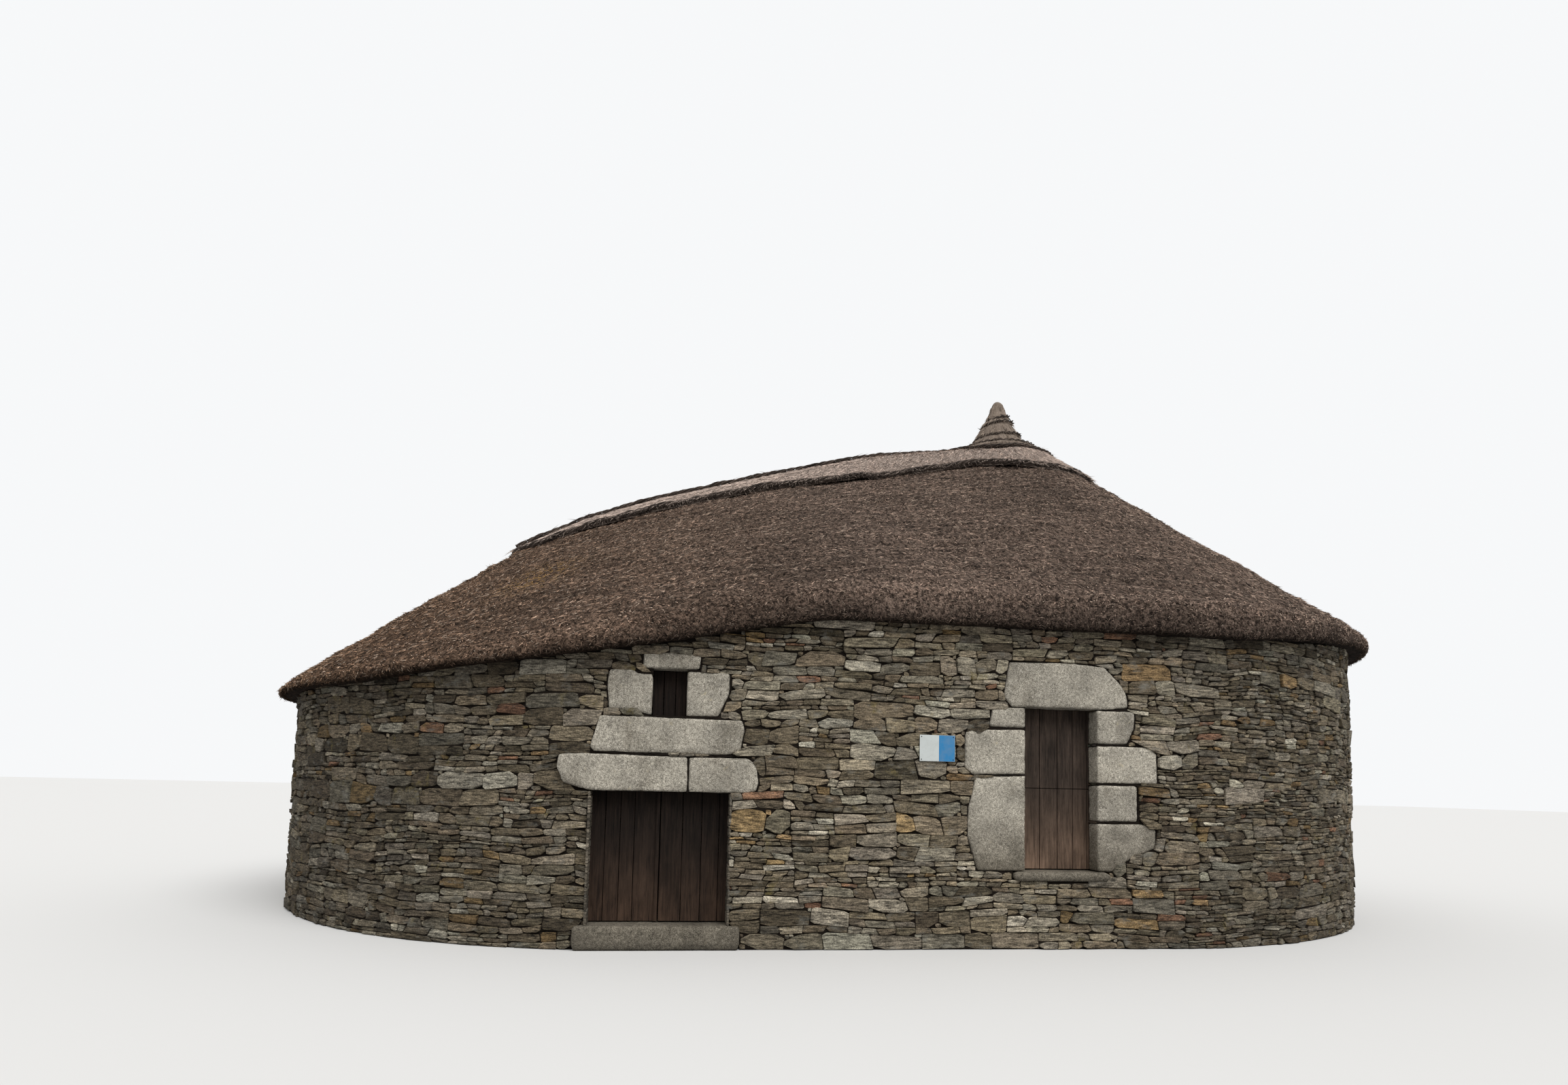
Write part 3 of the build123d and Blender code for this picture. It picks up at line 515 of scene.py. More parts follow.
for x, half, low, high in ((HD_X, HD_HALF, HD_SILL, HD_HEAD), (SD_X, SD_HALF, SD_SILL, SD_HEAD),
                           (WIN_X, WIN_HALF, WIN_LOW, WIN_TOP)):
    first, last = (int((edge - MAP_X0) / CELL) for edge in (x - half, x + half))
    taken[int(low / CELL):int(high / CELL), first:last] = True
for name in GRANITE:
    for tri in points_of(NODES[name].data)[triangles_of(NODES[name].data)]:
        if tri[:, 1].max() > -WALL_R - 0.005 or abs(np.cross(tri[1] - tri[0], tri[2] - tri[0])[1]) < 1e-6:
            continue
        (x0, _, z0), (x1, _, z1) = tri.min(0), tri.max(0)
        cols, rows = span(x0, x1, MAP_X0, COLS), span(z0, z1, 0, ROWS)
        gx, gz = np.meshgrid(MAP_X0 + (cols + 0.5) * CELL, (rows + 0.5) * CELL)
        a, b, c = tri[:, [0, 2]]
        det = (b[0] - a[0]) * (c[1] - a[1]) - (c[0] - a[0]) * (b[1] - a[1])
        u = ((gx - a[0]) * (c[1] - a[1]) - (c[0] - a[0]) * (gz - a[1])) / det
        w = ((b[0] - a[0]) * (gz - a[1]) - (gx - a[0]) * (b[1] - a[1])) / det
        taken[rows[0]:rows[-1] + 1, cols[0]:cols[-1] + 1] |= (u >= -0.01) & (w >= -0.01) & (u + w <= 1.01)


def spread_map(mask, reach):
    """Share of taken cells within reach of each cell."""
    out = mask.astype(float)
    for axis in (0, 1):
        padded = np.pad(out, [(reach, reach) if k == axis else (0, 0) for k in (0, 1)], mode="edge")
        total = np.cumsum(np.insert(padded, 0, 0, axis), axis)
        at = np.arange(out.shape[axis])
        out = (np.take(total, at + 2 * reach + 1, axis) - np.take(total, at, axis)) / (2 * reach + 1)
    return out


NEAR = spread_map(taken, 9)


def freedom(s, z):
    """How far a stone outline may wander: 1 in the open wall, 0 beside granite, doors and the ground."""
    x = x_of(s)
    row = np.clip((z / CELL).astype(int), 0, ROWS - 1)
    near = np.where((np.abs(s) < 12) & (x > MAP_X0) & (x < MAP_X1), NEAR[row, columns_at(x)], 0)
    return np.clip(1 - near * 5, 0, 1) * np.clip(z / 0.12, 0, 1)


def free_run(x, row, reach=0.8):
    """Free stretch round x on one row of the map, or None where x is taken."""
    row = min(max(row, 0), ROWS - 1)
    col = int((x - MAP_X0) / CELL)
    if col < 0 or col >= COLS:
        return x - reach, x + reach
    if taken[row, col]:
        return None
    cells = int(reach / CELL)
    left = taken[row, max(0, col - cells):col][::-1]
    beyond = taken[row, col + 1:col + cells]
    a = int(np.argmax(left)) if left.any() else cells
    b = int(np.argmax(beyond)) + 1 if beyond.any() else cells
    return x - a * CELL, x + b * CELL


EDGE = 0.012             # a stone's edge is tested this far inside its cell
SLIVER = 0.02            # no stone is narrower


def fit_cell(cell):
    """Trims a stone's cell (low left, low right, top right, top left, foot, head) to the free wall."""
    bl, br, tr, tl, za, zb = cell
    sa, sb = min(bl, tl), max(br, tr)
    if sb < -3.5 or sa > 8:
        return cell
    xa, xb = float(x_of(sa)), float(x_of(sb))
    if xb < MAP_X0 or xa > MAP_X1:
        return cell
    last = min(ROWS, max(int((zb - 0.008) / CELL), int((za + EDGE) / CELL) + 1))
    rows = list(range(int((za + EDGE) / CELL), last))
    cols = span(xa, xb, MAP_X0, COLS)
    if not len(cols) or not rows:
        return cell
    blocked = taken[np.ix_(rows, cols)].mean(0) > 0.5
    if not blocked.any():
        return cell
    if blocked.all():
        return None
    edges = np.flatnonzero(np.diff(np.r_[1, blocked.astype(int), 1]))
    run = max(edges.reshape(-1, 2).tolist(), key=lambda q: q[1] - q[0])
    ends = [MAP_X0 + (cols[0] + q) * CELL for q in run]
    middle = MAP_X0 + (cols[0] + (run[0] + run[1]) / 2) * CELL
    out = []
    for z, s_left, s_right in ((za + EDGE, bl, br), (zb - EDGE, tl, tr)):
        left, right = free_run(middle, int(z / CELL)) or ends
        out.append((max(s_of(left + 0.004), s_left), min(s_of(right - 0.004), s_right)))
    (l0, r0), (l1, r1) = out
    if r0 - l0 < SLIVER or r1 - l1 < SLIVER or (r0 - l0 + r1 - l1) / 2 < 0.03:
        return None
    return l0, r0, r1, l1, za, zb


# Drystone facing

def wobble(s, k):
    """Height by which the top of band k wanders at distance s, the same after a whole round."""
    turn = 2 * math.pi * s / LOOP
    return 0.035 * float(vnoise(np.array([[9 * math.cos(turn), 9 * math.sin(turn), k * 7.3]]), 5)[0])


def lengths(total, low, high):
    """Random lengths between low and high that fill total."""
    sizes = []
    while total > high:
        size = rng.uniform(low, high)
        if total - size < low:
            break
        sizes.append(size)
        total -= size
    return sizes + [total]


def layout(band_h, shortest, longest, layer_h, top_of, floor_of, fit):
    """Cells of irregular courses: each band holds blocks of one to five thin layers."""
    cells = []
    z0, k = 0.0, 0
    while z0 < 4.0:
        z1 = z0 + rng.uniform(*band_h)
        s = rng.uniform(-0.7, 0.7) - LOOP / 2
        end = s + LOOP
        while s < end - 1e-6:
            block = min(rng.uniform(0.35, 1.3), end - s)
            if end - s - block < 0.25:
                block = end - s
            scale = 0.68 if 5.6 < s < 10 else 1.0 if -6.5 < s < 10 else 1.25
            layers = int(np.clip(round((z1 - z0) / (scale * rng.choice(layer_h))), 1, 5))
            cuts = np.cumsum(np.r_[0, rng.uniform(0.55, 1.45, layers)])
            cuts /= cuts[-1]
            tip = rng.uniform(-0.020, 0.020, layers + 1) * np.r_[0, np.ones(layers - 1), 0]
            for j in range(layers):
                thick = (cuts[j + 1] - cuts[j]) * (z1 - z0)
                x, slant = s, 0.0
                sizes = lengths(block, max(shortest, thick * 0.9), min(longest, max(0.22, thick * 4.8)))
                for n, size in enumerate(sizes):
                    last = n == len(sizes) - 1
                    next_slant = 0.0 if last else rng.uniform(-0.3, 0.3) * min(thick, 0.13)
                    middle = x + size / 2
                    base = z0 + (wobble(middle, k) if k else 0.0)
                    roof = z1 + wobble(middle, k + 1)
                    lean = (middle - s) / block - 0.5
                    za = max(base + (roof - base) * cuts[j] + tip[j] * lean, floor_of(middle))
                    zb = min(base + (roof - base) * cuts[j + 1] + tip[j + 1] * lean, top_of(middle))
                    if zb - za > SLIVER:
                        end_x = x + size
                        cell = fit((x + slant, end_x + next_slant, end_x - next_slant, x - slant, za, zb))
                        if cell is not None:
                            cells.append(cell)
                    x += size
                    slant = next_slant
            s += block
        z0 = z1
        k += 1
    return np.array(cells)


def wander(s, z):
    """Shift of the outlines that turns level courses into rubble."""
    p = np.stack([s * 1.5, z * 2.3, np.zeros_like(s)], -1)
    q = np.stack([s * 5.5, z * 8.0, np.zeros_like(s)], -1)
    room = freedom(s, z)
    return (room * (0.030 * vnoise(p, 21) + 0.017 * vnoise(q, 22)),
            room * (0.036 * vnoise(p, 23) + 0.015 * vnoise(q, 24)))


def outline(cells, joint, loose=True):
    """Eight outline points of each stone as distances and heights."""
    n = len(cells)
    gap = rng.uniform(*joint, (n, 4))
    bl, br, tr, tl, za, zb = cells.T
    corner_s = np.stack([bl + gap[:, 0], br - gap[:, 1], tr - gap[:, 1], tl + gap[:, 0]], 1)
    wide = np.maximum((br - bl + tr - tl) / 2, 0.02)
    high = np.maximum(zb - za, 0.018)
    tilt = rng.uniform(-0.11, 0.11, (n, 2)) * high[:, None]
    corner_z = np.stack([za + gap[:, 2] + tilt[:, 0], za + gap[:, 2] - tilt[:, 0],
                         zb - gap[:, 3] - tilt[:, 1], zb - gap[:, 3] + tilt[:, 1]], 1)
    cut = rng.choice([0.05, 0.16, 0.34, 0.60], (n, 4, 1), p=[0.38, 0.33, 0.24, 0.05])
    cut = cut * rng.uniform(0.6, 1.3, (n, 4, 2)) * np.minimum(wide, high)[:, None, None]
    pts = []
    for i in range(4):
        for which, other in enumerate(((i - 1) % 4, (i + 1) % 4)):
            ds = corner_s[:, other] - corner_s[:, i]
            dz = corner_z[:, other] - corner_z[:, i]
            level = (other + i) % 4 in (1, 5)
            reach = cut[:, i, which] * (1.8 if level else 0.8) / np.maximum(np.hypot(ds, dz), 1e-4)
            f = np.minimum(reach, 0.40)
            pts.append((corner_s[:, i] + f * ds, corner_z[:, i] + f * dz))
    out_s, out_z = np.transpose(pts, (1, 2, 0))
    if loose:
        move_s, move_z = wander(out_s, out_z)
        out_s = out_s + move_s
        out_z = np.maximum(out_z + move_z, 0.002)
    return out_s, out_z


def stones(out_s, out_z, radius, side, proud, soft_edge, ringed=False):
    """Points of each stone and one stone's triangles, with rough, tilted faces. side is -1 inside."""
    n = len(out_s)
    wide = np.ptp(out_s, axis=1)[:, None]
    high = np.ptp(out_z, axis=1)[:, None]
    cs = out_s.mean(1, keepdims=True)
    cz = out_z.mean(1, keepdims=True)
    depth = rng.uniform(*proud, (n, 1))
    lean = rng.uniform(-0.13, 0.13, (n, 2))
    face = lean[:, :1] * np.clip(out_s - cs, -0.10, 0.10) + lean[:, 1:] * (out_z - cz) * 1.2
    rough = rng.uniform(-0.006, 0.006, out_s.shape)
    soft = np.minimum(soft_edge, 0.2 * high)
    rings = [(out_s, out_z, np.full_like(out_s, -0.03)),
             (out_s, out_z, np.maximum(depth + 0.8 * face - soft + rough, 0.002))]
    if ringed:
        rings.append((cs + (out_s - cs) * (1 - np.minimum(0.7, 2.0 * soft / wide)),
                      cz + (out_z - cz) * (1 - np.minimum(0.7, 2.0 * soft / high)),
                      np.maximum(depth + face + rough * 0.6, 0.005)))
    hub_s = cs + rng.uniform(-0.25, 0.25, (n, 1)) * wide * 0.5
    hub_z = cz + rng.uniform(-0.25, 0.25, (n, 1)) * high * 0.5
    hub_d = np.maximum(depth + rng.uniform(-0.004, 0.010, (n, 1)), 0.007)
    rings.append((hub_s, hub_z, hub_d))
    points = np.concatenate([on_wall(s, z, radius + side * d) for s, z, d in rings], 1)
    return points, tube(len(rings) - 1, 8, True)[:, ::side]


STONE_KINDS = [(0.25, (0.200, 0.160, 0.106)), (0.20, (0.245, 0.205, 0.144)), (0.17, (0.140, 0.112, 0.074)),
               (0.13, (0.300, 0.262, 0.196)), (0.14, (0.210, 0.182, 0.136)), (0.035, (0.260, 0.176, 0.086)),
               (0.015, (0.220, 0.122, 0.074)), (0.06, (0.42, 0.38, 0.295))]      # share and colour


def stone_tints(cells):
    """One colour a stone: grey and brown schist with a few ochre, rust and pale stones, and painted shade at
    both ends of the wall.
    """
    n = len(cells)
    share, kinds = (np.array(column) for column in zip(*STONE_KINDS))
    pick = rng.choice(len(kinds), n, p=share / share.sum())
    tint = kinds[pick] * rng.uniform(0.60, 1.38, (n, 1)) * (1 + rng.uniform(-0.02, 0.02, (n, 3)))
    middle = (cells[:, 0] + cells[:, 1]) / 2
    height = (cells[:, 4] + cells[:, 5]) / 2
    big = fnoise(np.stack([middle * 0.45, height * 0.8, np.zeros(n)], -1), 31)
    # Painted shade: darker at the left end for the shadow of trees and at the right end for its own shade,
    # partly darker stones at both ends; the middle a little lighter.
    shade = np.interp(middle, [-3.0, 0.5, 5.5, 7.5], [0.74, 1.08, 1.08, 0.82])
    # Darker towards the bottom.
    shade *= np.interp(height, [0.2, 1.5], [0.84, 1.0])
    return tint * ((1 + 0.25 * big) * shade)[:, None]


def place_stones(name, points, tris, tint):
    n, per, _ = points.shape
    shape = (points.reshape(-1, 3), repeated(tris, n, per), np.repeat(tint, per, axis=0))
    piece(name, shape, M_SCHIST, "schist")


STEP = 0.1               # distance between measured heights along the wall


def heights_along(tree, radius, z_from, down, spare):
    """Heights where plumb rays beside the wall meet the tree."""
    hits = [drop(tree, x, y, z_from, down) for x, y, _ in on_wall(np.arange(0, LOOP, STEP), 0.0, radius)]
    return [hit[0] if hit else spare for hit in hits]


EAVE_OVER = heights_along(roof_tree, WALL_R + 0.015, 1.0, False, 2.8)
INNER_OVER = heights_along(tree_of(*[name for name in NODES if name.startswith("wall_")]),
                           WALL_R - WALL_T + 0.05, 9.0, True, 3.2)


def outer_top(s):
    return EAVE_OVER[int((s % LOOP) / STEP) % len(EAVE_OVER)] + 0.012


def inner_top(s):
    return max(2.9, INNER_OVER[int((s % LOOP) / STEP) % len(INNER_OVER)])


def inner_floor(s):
    cx, dx, dy = around(s)
    return HD_SILL if cx + (WALL_R - WALL_T) * dx > STEP_X else SD_SILL


cells = layout((0.15, 0.33), 0.07, 0.62, [0.06, 0.08, 0.10, 0.13, 0.17], outer_top, lambda s: 0.0, fit_cell)
out_s, out_z = outline(cells, (0.0015, 0.0055))
tint = stone_tints(cells)
centre = (cells[:, 0] + cells[:, 1]) / 2
PARTS = [("stones_left_back", -99, -6.5), ("stones_left_end", -6.5, 0), ("stones_front", 0, STRAIGHT),
         ("stones_right_end", STRAIGHT, 10.5), ("stones_back", 10.5, 99)]
for name, s0, s1 in PARTS:
    chosen = (centre >= s0) & (centre < s1)
    shape = stones(out_s[chosen], out_z[chosen], WALL_R, 1, (0.002, 0.036), 0.006, "back" not in name)
    place_stones(name, *shape, tint[chosen])


# Small pinning stones in the holes between the others

def hole_map():
    """Cells of the outer face, a centimetre each, that no stone, granite or opening covers."""
    cols = int(LOOP / CELL)
    at = (np.arange(cols) + 0.5) * CELL
    tops = np.array([outer_top(s) for s in at])
    heights = (np.arange(ROWS) + 0.5) * CELL
    empty = (heights[:, None] > 0.01) & (heights[:, None] < tops[None] - 0.01)
    signed = np.where(at > LOOP / 2, at - LOOP, at)
    x = x_of(signed)
    on_map = (np.abs(signed) < 9) & (x > MAP_X0) & (x < MAP_X1 - CELL)
    empty &= ~(taken[:, columns_at(x)] & on_map[None])
    for ps, pz in zip(out_s, out_z):
        ids = np.arange(int(ps.min() / CELL) - 1, int(ps.max() / CELL) + 1)
        rows = span(pz.min(), pz.max(), 0, ROWS)
        if not len(rows):
            continue
        gs, gz = np.meshgrid((ids + 0.5) * CELL, heights[rows])
        inside = np.ones(gs.shape, bool)
        for s0, z0, s1, z1 in zip(ps, pz, np.roll(ps, -1), np.roll(pz, -1)):
            inside &= (s1 - s0) * (gz - z0) - (z1 - z0) * (gs - s0) >= -0.0002
        empty[rows[0]:rows[-1] + 1, ids % cols] &= ~inside
    return empty


def pins(empty):
    """Cells that fit the holes, the largest first."""
    found = []
    for size in (9, 7, 5, 4):
        total = np.pad(np.cumsum(np.cumsum(empty, 0), 1), ((1, 0), (1, 0)))
        count = total[size:, size:] - total[:-size, size:] - total[size:, :-size] + total[:-size, :-size]
        for row, col in np.argwhere(count == size * size):
            if not empty[row:row + size, col:col + size].all():
                continue
            end = col + size
            while end < empty.shape[1] and end - col < 4 * size and empty[row:row + size, end].all():
                end += 1
            empty[row:row + size, col:end] = False
            s0, s1 = col * CELL, end * CELL
            found.append((s0, s1, s1, s0, row * CELL, (row + size) * CELL))
    return np.array(found)


cells = pins(hole_map())
shape = stones(*outline(cells, (0.000, 0.003), False), WALL_R, 1, (0.004, 0.016), 0.004)
place_stones("stones_pinning", *shape, stone_tints(cells))


# Inner faces of the same walls, clear of the passages and the window

def in_opening(cells):
    x = (cells[:, 0] + cells[:, 1]) / 2 - END_X
    half = (cells[:, 1] - cells[:, 0]) / 2
    found = np.zeros(len(cells), bool)
    for middle, w, z0, z1 in ((HD_X, HD_PASSAGE, 0, HD_CEIL), (SD_X, SD_PASSAGE, 0, SD_CEIL),
                              (WIN_X, 0.20, WIN_LOW, WIN_TOP)):
        found |= (np.abs(x - middle) < w + half) & (cells[:, 4] < z1) & (cells[:, 5] > z0)
    return found & (x > -END_X - 1.2) & (x < END_X)


cells = layout((0.3, 0.5), 0.22, 0.9, [0.16, 0.22, 0.3], inner_top, inner_floor, lambda cell: cell)
cells = cells[~in_opening(cells)]
shape = stones(*outline(cells, (0.003, 0.008)), WALL_R - WALL_T, -1, (0.004, 0.022), 0.012)
place_stones("stones_inside", *shape, stone_tints(cells))

REVEAL_OUT, REVEAL_IN = -5.262, -5.035
REVEAL_TOP = SD_HEAD - 0.004
REVEAL_JOINT = 0.003


def reveal_stones(name, x, facing):
    """Corner stones up one side of the stable doorway. facing is 1 where they look to the right."""
    parts = []
    z = SD_SILL
    while z < REVEAL_TOP - 0.03:
        h = min(rng.uniform(0.06, 0.17), REVEAL_TOP - z)
        if REVEAL_TOP - z - h < 0.05:
            h = REVEAL_TOP - z
        out = rng.uniform(0.002, 0.010)
        y_out = REVEAL_OUT - rng.uniform(0.0, 0.016)
        pts = []
        for depth, inset in ((-0.02, 0.0), (out - 0.006, 0.0), (out, 0.008)):
            for y, level in ((y_out, z), (REVEAL_IN, z), (REVEAL_IN, z + h), (y_out, z + h)):
                rise = REVEAL_JOINT + inset if level == z else -REVEAL_JOINT - inset
                pts.append((x + facing * depth, y + (inset if y == y_out else -inset),
                            level + rise + rng.uniform(-0.003, 0.003)))
        tone = np.array((0.17, 0.145, 0.11)) * rng.uniform(0.6, 1.4)
        parts.append((pts, tube(3, 4)[:, ::facing], [tone] * len(pts)))
        z += h
    piece(name, join(parts), M_SCHIST, "schist")


reveal_stones("stable_reveal_left", SD_X - SD_HALF, 1)
reveal_stones("stable_reveal_right", SD_X + SD_HALF, -1)
dress(M_CORE, "house_floor", "stable_floor", *[name for name in NODES if name.startswith("wall_")])


# Granite blocks: worn edges and picked faces

def islands(bm):
    """Lists of faces, one for each block of a node, in the order of the faces."""
    bm.faces.index_update()
    bm.faces.ensure_lookup_table()
    left = set(range(len(bm.faces)))
    while left:
        stack = [min(left)]
        found = set(stack)
        while stack:
            edges = bm.faces[stack.pop()].edges
            near = {face.index for edge in edges for face in edge.link_faces} - found
            found |= near
            stack += near
        left -= found
        yield [bm.faces[i] for i in sorted(found)]


def worn_block(faces, voxel, bevel=0.010, amp=0.009):
    """One block with rounded arrises and a picked face, as points and triangles."""
    verts = sorted({v for f in faces for v in f.verts}, key=lambda v: v.index)
    number = {v: i for i, v in enumerate(verts)}
    mesh = bpy.data.meshes.new("block")
    mesh.from_pydata([v.co[:] for v in verts], [], [[number[v] for v in f.verts] for f in faces])
    obj = bpy.data.objects.new("block", mesh)
    bpy.context.scene.collection.objects.link(obj)
    mod = obj.modifiers.new("bevel", "BEVEL")
    mod.width = bevel
    mod.segments = 2
    mod.limit_method = "ANGLE"
    mod.angle_limit = math.radians(25)
    remesh = obj.modifiers.new("remesh", "REMESH")
    remesh.mode = "VOXEL"
    remesh.voxel_size = voxel
    done = bpy.data.meshes.new_from_object(obj.evaluated_get(bpy.context.evaluated_depsgraph_get()))
    co = points_of(done)
    push = 0.6 * fnoise(co * 5.0, 3) + 0.4 * vnoise(co * 20.0, 8) - 0.45
    push = np.where(co[:, 1] < JAMB_Y, push, np.minimum(push, 0))
    co = co + points_of(done, "normal") * (amp * push)[:, None]
    tris = triangles_of(done)
    bpy.data.objects.remove(obj)
    bpy.data.meshes.remove(mesh)
    bpy.data.meshes.remove(done)
    return co, tris


for name in GRANITE:
    bm = bmesh.new()
    bm.from_mesh(NODES[name].data)
    bmesh.ops.remove_doubles(bm, verts=bm.verts, dist=1e-4)
    bm.verts.index_update()
    parts = []
    for faces in islands(bm):
        co, tris = worn_block(faces, 0.04 if "sill" in name else 0.026)
        tone = np.array((1.0, 0.985, 0.96)) * rng.uniform(0.84, 1.10)
        parts.append((co, tris, np.tile(tone, (len(co), 1))))
    bm.free()
    piece(name + "_stone", join(parts), M_GRANITE, "granite", name, smooth=True)


# Thatch: a coat on a grid of NU points round the eave and NV from the ridge down

NU, NV = 580, 88
COURSE_H = 0.21
STEMS = 100000


def heights(xy, z_from=12.0, down=True):
    """Heights where plumb rays at these points meet the roof."""
    hits = [drop(roof_tree, x, y, z_from, down) for x, y in xy]
    return np.array([hit[0] if hit else np.nan for hit in hits])


def blur(a, sigma, axis, wrap):
    half = int(3 * sigma) + 1
    k = np.exp(-0.5 * (np.arange(-half, half + 1) / sigma) ** 2)
    k /= k.sum()
    pad = [(0, 0), (0, 0)]
    pad[axis] = (half, half)
    b = np.pad(a, pad, mode="wrap" if wrap else "edge")
    at = np.arange(a.shape[axis])
    return sum(w * np.take(b, at + n, axis) for n, w in enumerate(k))


run = np.arange(NU) * (2 * STRAIGHT + 2 * math.pi * EAVE_R) / NU
cx, *direction = around(run, EAVE_R)
outward = np.stack(direction, 1)
rim = EAVE_R * outward + np.stack([cx, 0 * cx], 1)
ridge = np.stack([np.clip(rim[:, 0], HIP_X, END_X), 0 * cx], 1)
vs = np.linspace(0.0, 1.0, NV)
XY = ridge[None] + (rim - ridge)[None] * vs[:, None, None] * 0.9995
Z = heights(XY.reshape(-1, 2)).reshape(NV, NU)
Z = blur(np.where(np.isnan(Z), np.nanmin(Z), Z), 7.0, 1, True)
weight = np.clip((1 - vs) / 0.05, 0, 1)[:, None]
Z = blur(Z, 3.2, 0, False) * weight + Z * (1 - weight)
P = np.dstack([XY, Z])

# Courses, tufts and a ragged surface
slope_len = np.hypot(*(rim - ridge).T)[None] * vs[:, None]
phase = (slope_len / COURSE_H + 1.2 * fnoise(P * 0.45, 41)) % 1.0
ripple = 0.020 * (phase ** 2.0 - 0.35)
run_at = np.broadcast_to(run, slope_len.shape)
waves = vnoise(np.stack([run_at * 2.4, slope_len * 7.5, np.zeros_like(run_at)], -1), 54)
lumps = 0.022 * fnoise(P * 1.6, 51) + 0.014 * fnoise(P * 6.0, 52) + 0.010 * vnoise(P * 14.0, 53)
lumps = lumps + 0.016 * waves - 0.012
edge_fade = np.clip(vs / 0.06, 0, 1)[:, None]
normal = unit(np.cross(np.roll(P, -1, 1) - np.roll(P, 1, 1), np.gradient(P, axis=0)))
normal[normal[..., 2] < 0] *= -1
P = P + normal * ((ripple + lumps) * edge_fade)[..., None]

# Rounded eave, then the underside back to the ridge
UNDER = 0.5              # height from which rays look up at the thatch
EAVE_SHAPE = [(0.003, 0.05), (0.016, 0.16), (0.026, 0.36), (0.026, 0.60), (0.014, 0.82), (-0.010, 0.95),
              (-0.06, 1.0), (-0.16, 1.0), (-0.30, 0.99)]        # out past the rim, share of the way down
low = heights(rim - outward * 0.02, UNDER, False)
low = blur(np.where(np.isnan(low), np.nanmean(low), low)[None], 2.0, 1, True)[0]
h = P[-1, :, 2] - low
rows = list(P)
for out_r, down in EAVE_SHAPE:
    reach = out_r * np.clip(h / 0.45, 0.2, 1.0) if out_r > 0 else np.full(NU, out_r)
    base = np.column_stack([rim + outward * reach[:, None], P[-1, :, 2] - h * down])
    jitter = 0.012 * fnoise(base * 8.0, 61) + 0.009 * vnoise(base * 22.0, 62)
    if out_r > -0.2:
        base[:, :2] += outward * jitter[:, None]
        base[:, 2] += np.maximum(0.5 * jitter, -0.005)
    rows.append(base)
for share in (0.90, 0.8, 0.65, 0.5, 0.35, 0.2, 0.08, 0.0):
    xy = ridge + (rim - ridge) * share
    found = heights(xy, UNDER, False)
    found = np.where(np.isnan(found), low, found)
    rows.append(np.column_stack([xy, np.maximum(found, low) if share == 0.90 else found]))
grid = np.array(rows)
NR = len(grid)
idx = np.arange(NR * NU).reshape(NR, NU)
nxt = np.roll(idx, -1, 1)
a, b, c, d = idx[:-1], nxt[:-1], nxt[1:], idx[1:]
tris = np.concatenate([np.stack([a, d, c], -1).reshape(-1, 3), np.stack([a, c, b], -1).reshape(-1, 3)])


def thatch_tint(p):
    """Weathered broom: browner to the left, greyer to the right and at the back, with horizontal bands of
    painted shade.
    """
    left = np.clip((-p[:, 0] - 0.5) / 6.5, 0, 1)[:, None]
    base = np.array((0.172, 0.124, 0.097)) * (1 - left) + np.array((0.158, 0.098, 0.062)) * left
    # Painted shade in horizontal bands, as between the courses.
    shade_bands = fnoise(p * (0.9, 0.9, 7.0), 73)
    tone = 1 + 0.22 * fnoise(p * 0.7, 71) + 0.15 * fnoise(p * 2.3, 72) + 0.20 * shade_bands
    return base * tone[:, None]


flat = grid.reshape(-1, 3)
tint = thatch_tint(flat) * 0.66
row_of = np.repeat(np.arange(NR), NU)
# Painted light: the rows round the eave's edge are lightened, so that the eave's face renders as light as the
# slope above it.
tint[(row_of >= NV - 2) & (row_of <= NV + 3)] *= 1.35
# Painted shade under the eave and on the underside back to the ridge.
tint[row_of > NV + 5] *= 0.4
thatch = piece("thatch_coat", (flat, tris, tint), M_THATCH, "thatch", "thatch", smooth=True)
bm = bmesh.new()
bm.from_mesh(thatch.data)
bmesh.ops.remove_doubles(bm, verts=bm.verts, dist=1e-4)
bmesh.ops.dissolve_degenerate(bm, dist=1e-5, edges=bm.edges)
bmesh.ops.recalc_face_normals(bm, faces=bm.faces)
bm.to_mesh(thatch.data)
bm.free()

SPIKE = np.array([(0, 1, 2), (0, 2, 3), (2, 1, 3), (1, 0, 3)])


def spikes(base, along, norm, length, width, lift, tint):
    """Closed three-sided stems from base points: along is the way they lie, norm stands off the surface."""
    side = unit(np.cross(along, norm))
    w = width[:, None]
    a = base + side * w / 2 - norm * 0.004
    b = base - side * w / 2 - norm * 0.004
    c = base + norm * w * 0.45
    tip = base + along * length[:, None] + norm * lift[:, None]
    points = np.stack([a, b, c, tip], 1).reshape(-1, 3)
    return points, repeated(SPIKE, len(base), 4), np.repeat(tint, 4, axis=0)


def upright(count):
    return np.tile((0.0, 0.0, 1.0), (count, 1))


# Stems over the thatch, thrown by area
LAST_ROW = NV + 6
corner = grid[:LAST_ROW]
sides = np.cross(np.roll(grid, -1, 1)[:LAST_ROW] - corner, grid[1:LAST_ROW + 1] - corner)
area = np.linalg.norm(sides, axis=2)
area[NV - 1:] *= 2.2
GOLD_X, GOLD_Y = -4.55, -2.95               # middle of a golden patch
GOLD = np.array((0.36, 0.22, 0.09))


def behind(y):
    """0 in front of the ridge, 1 well behind it."""
    return np.clip((y + 1.0) / 3.0, 0, 1)


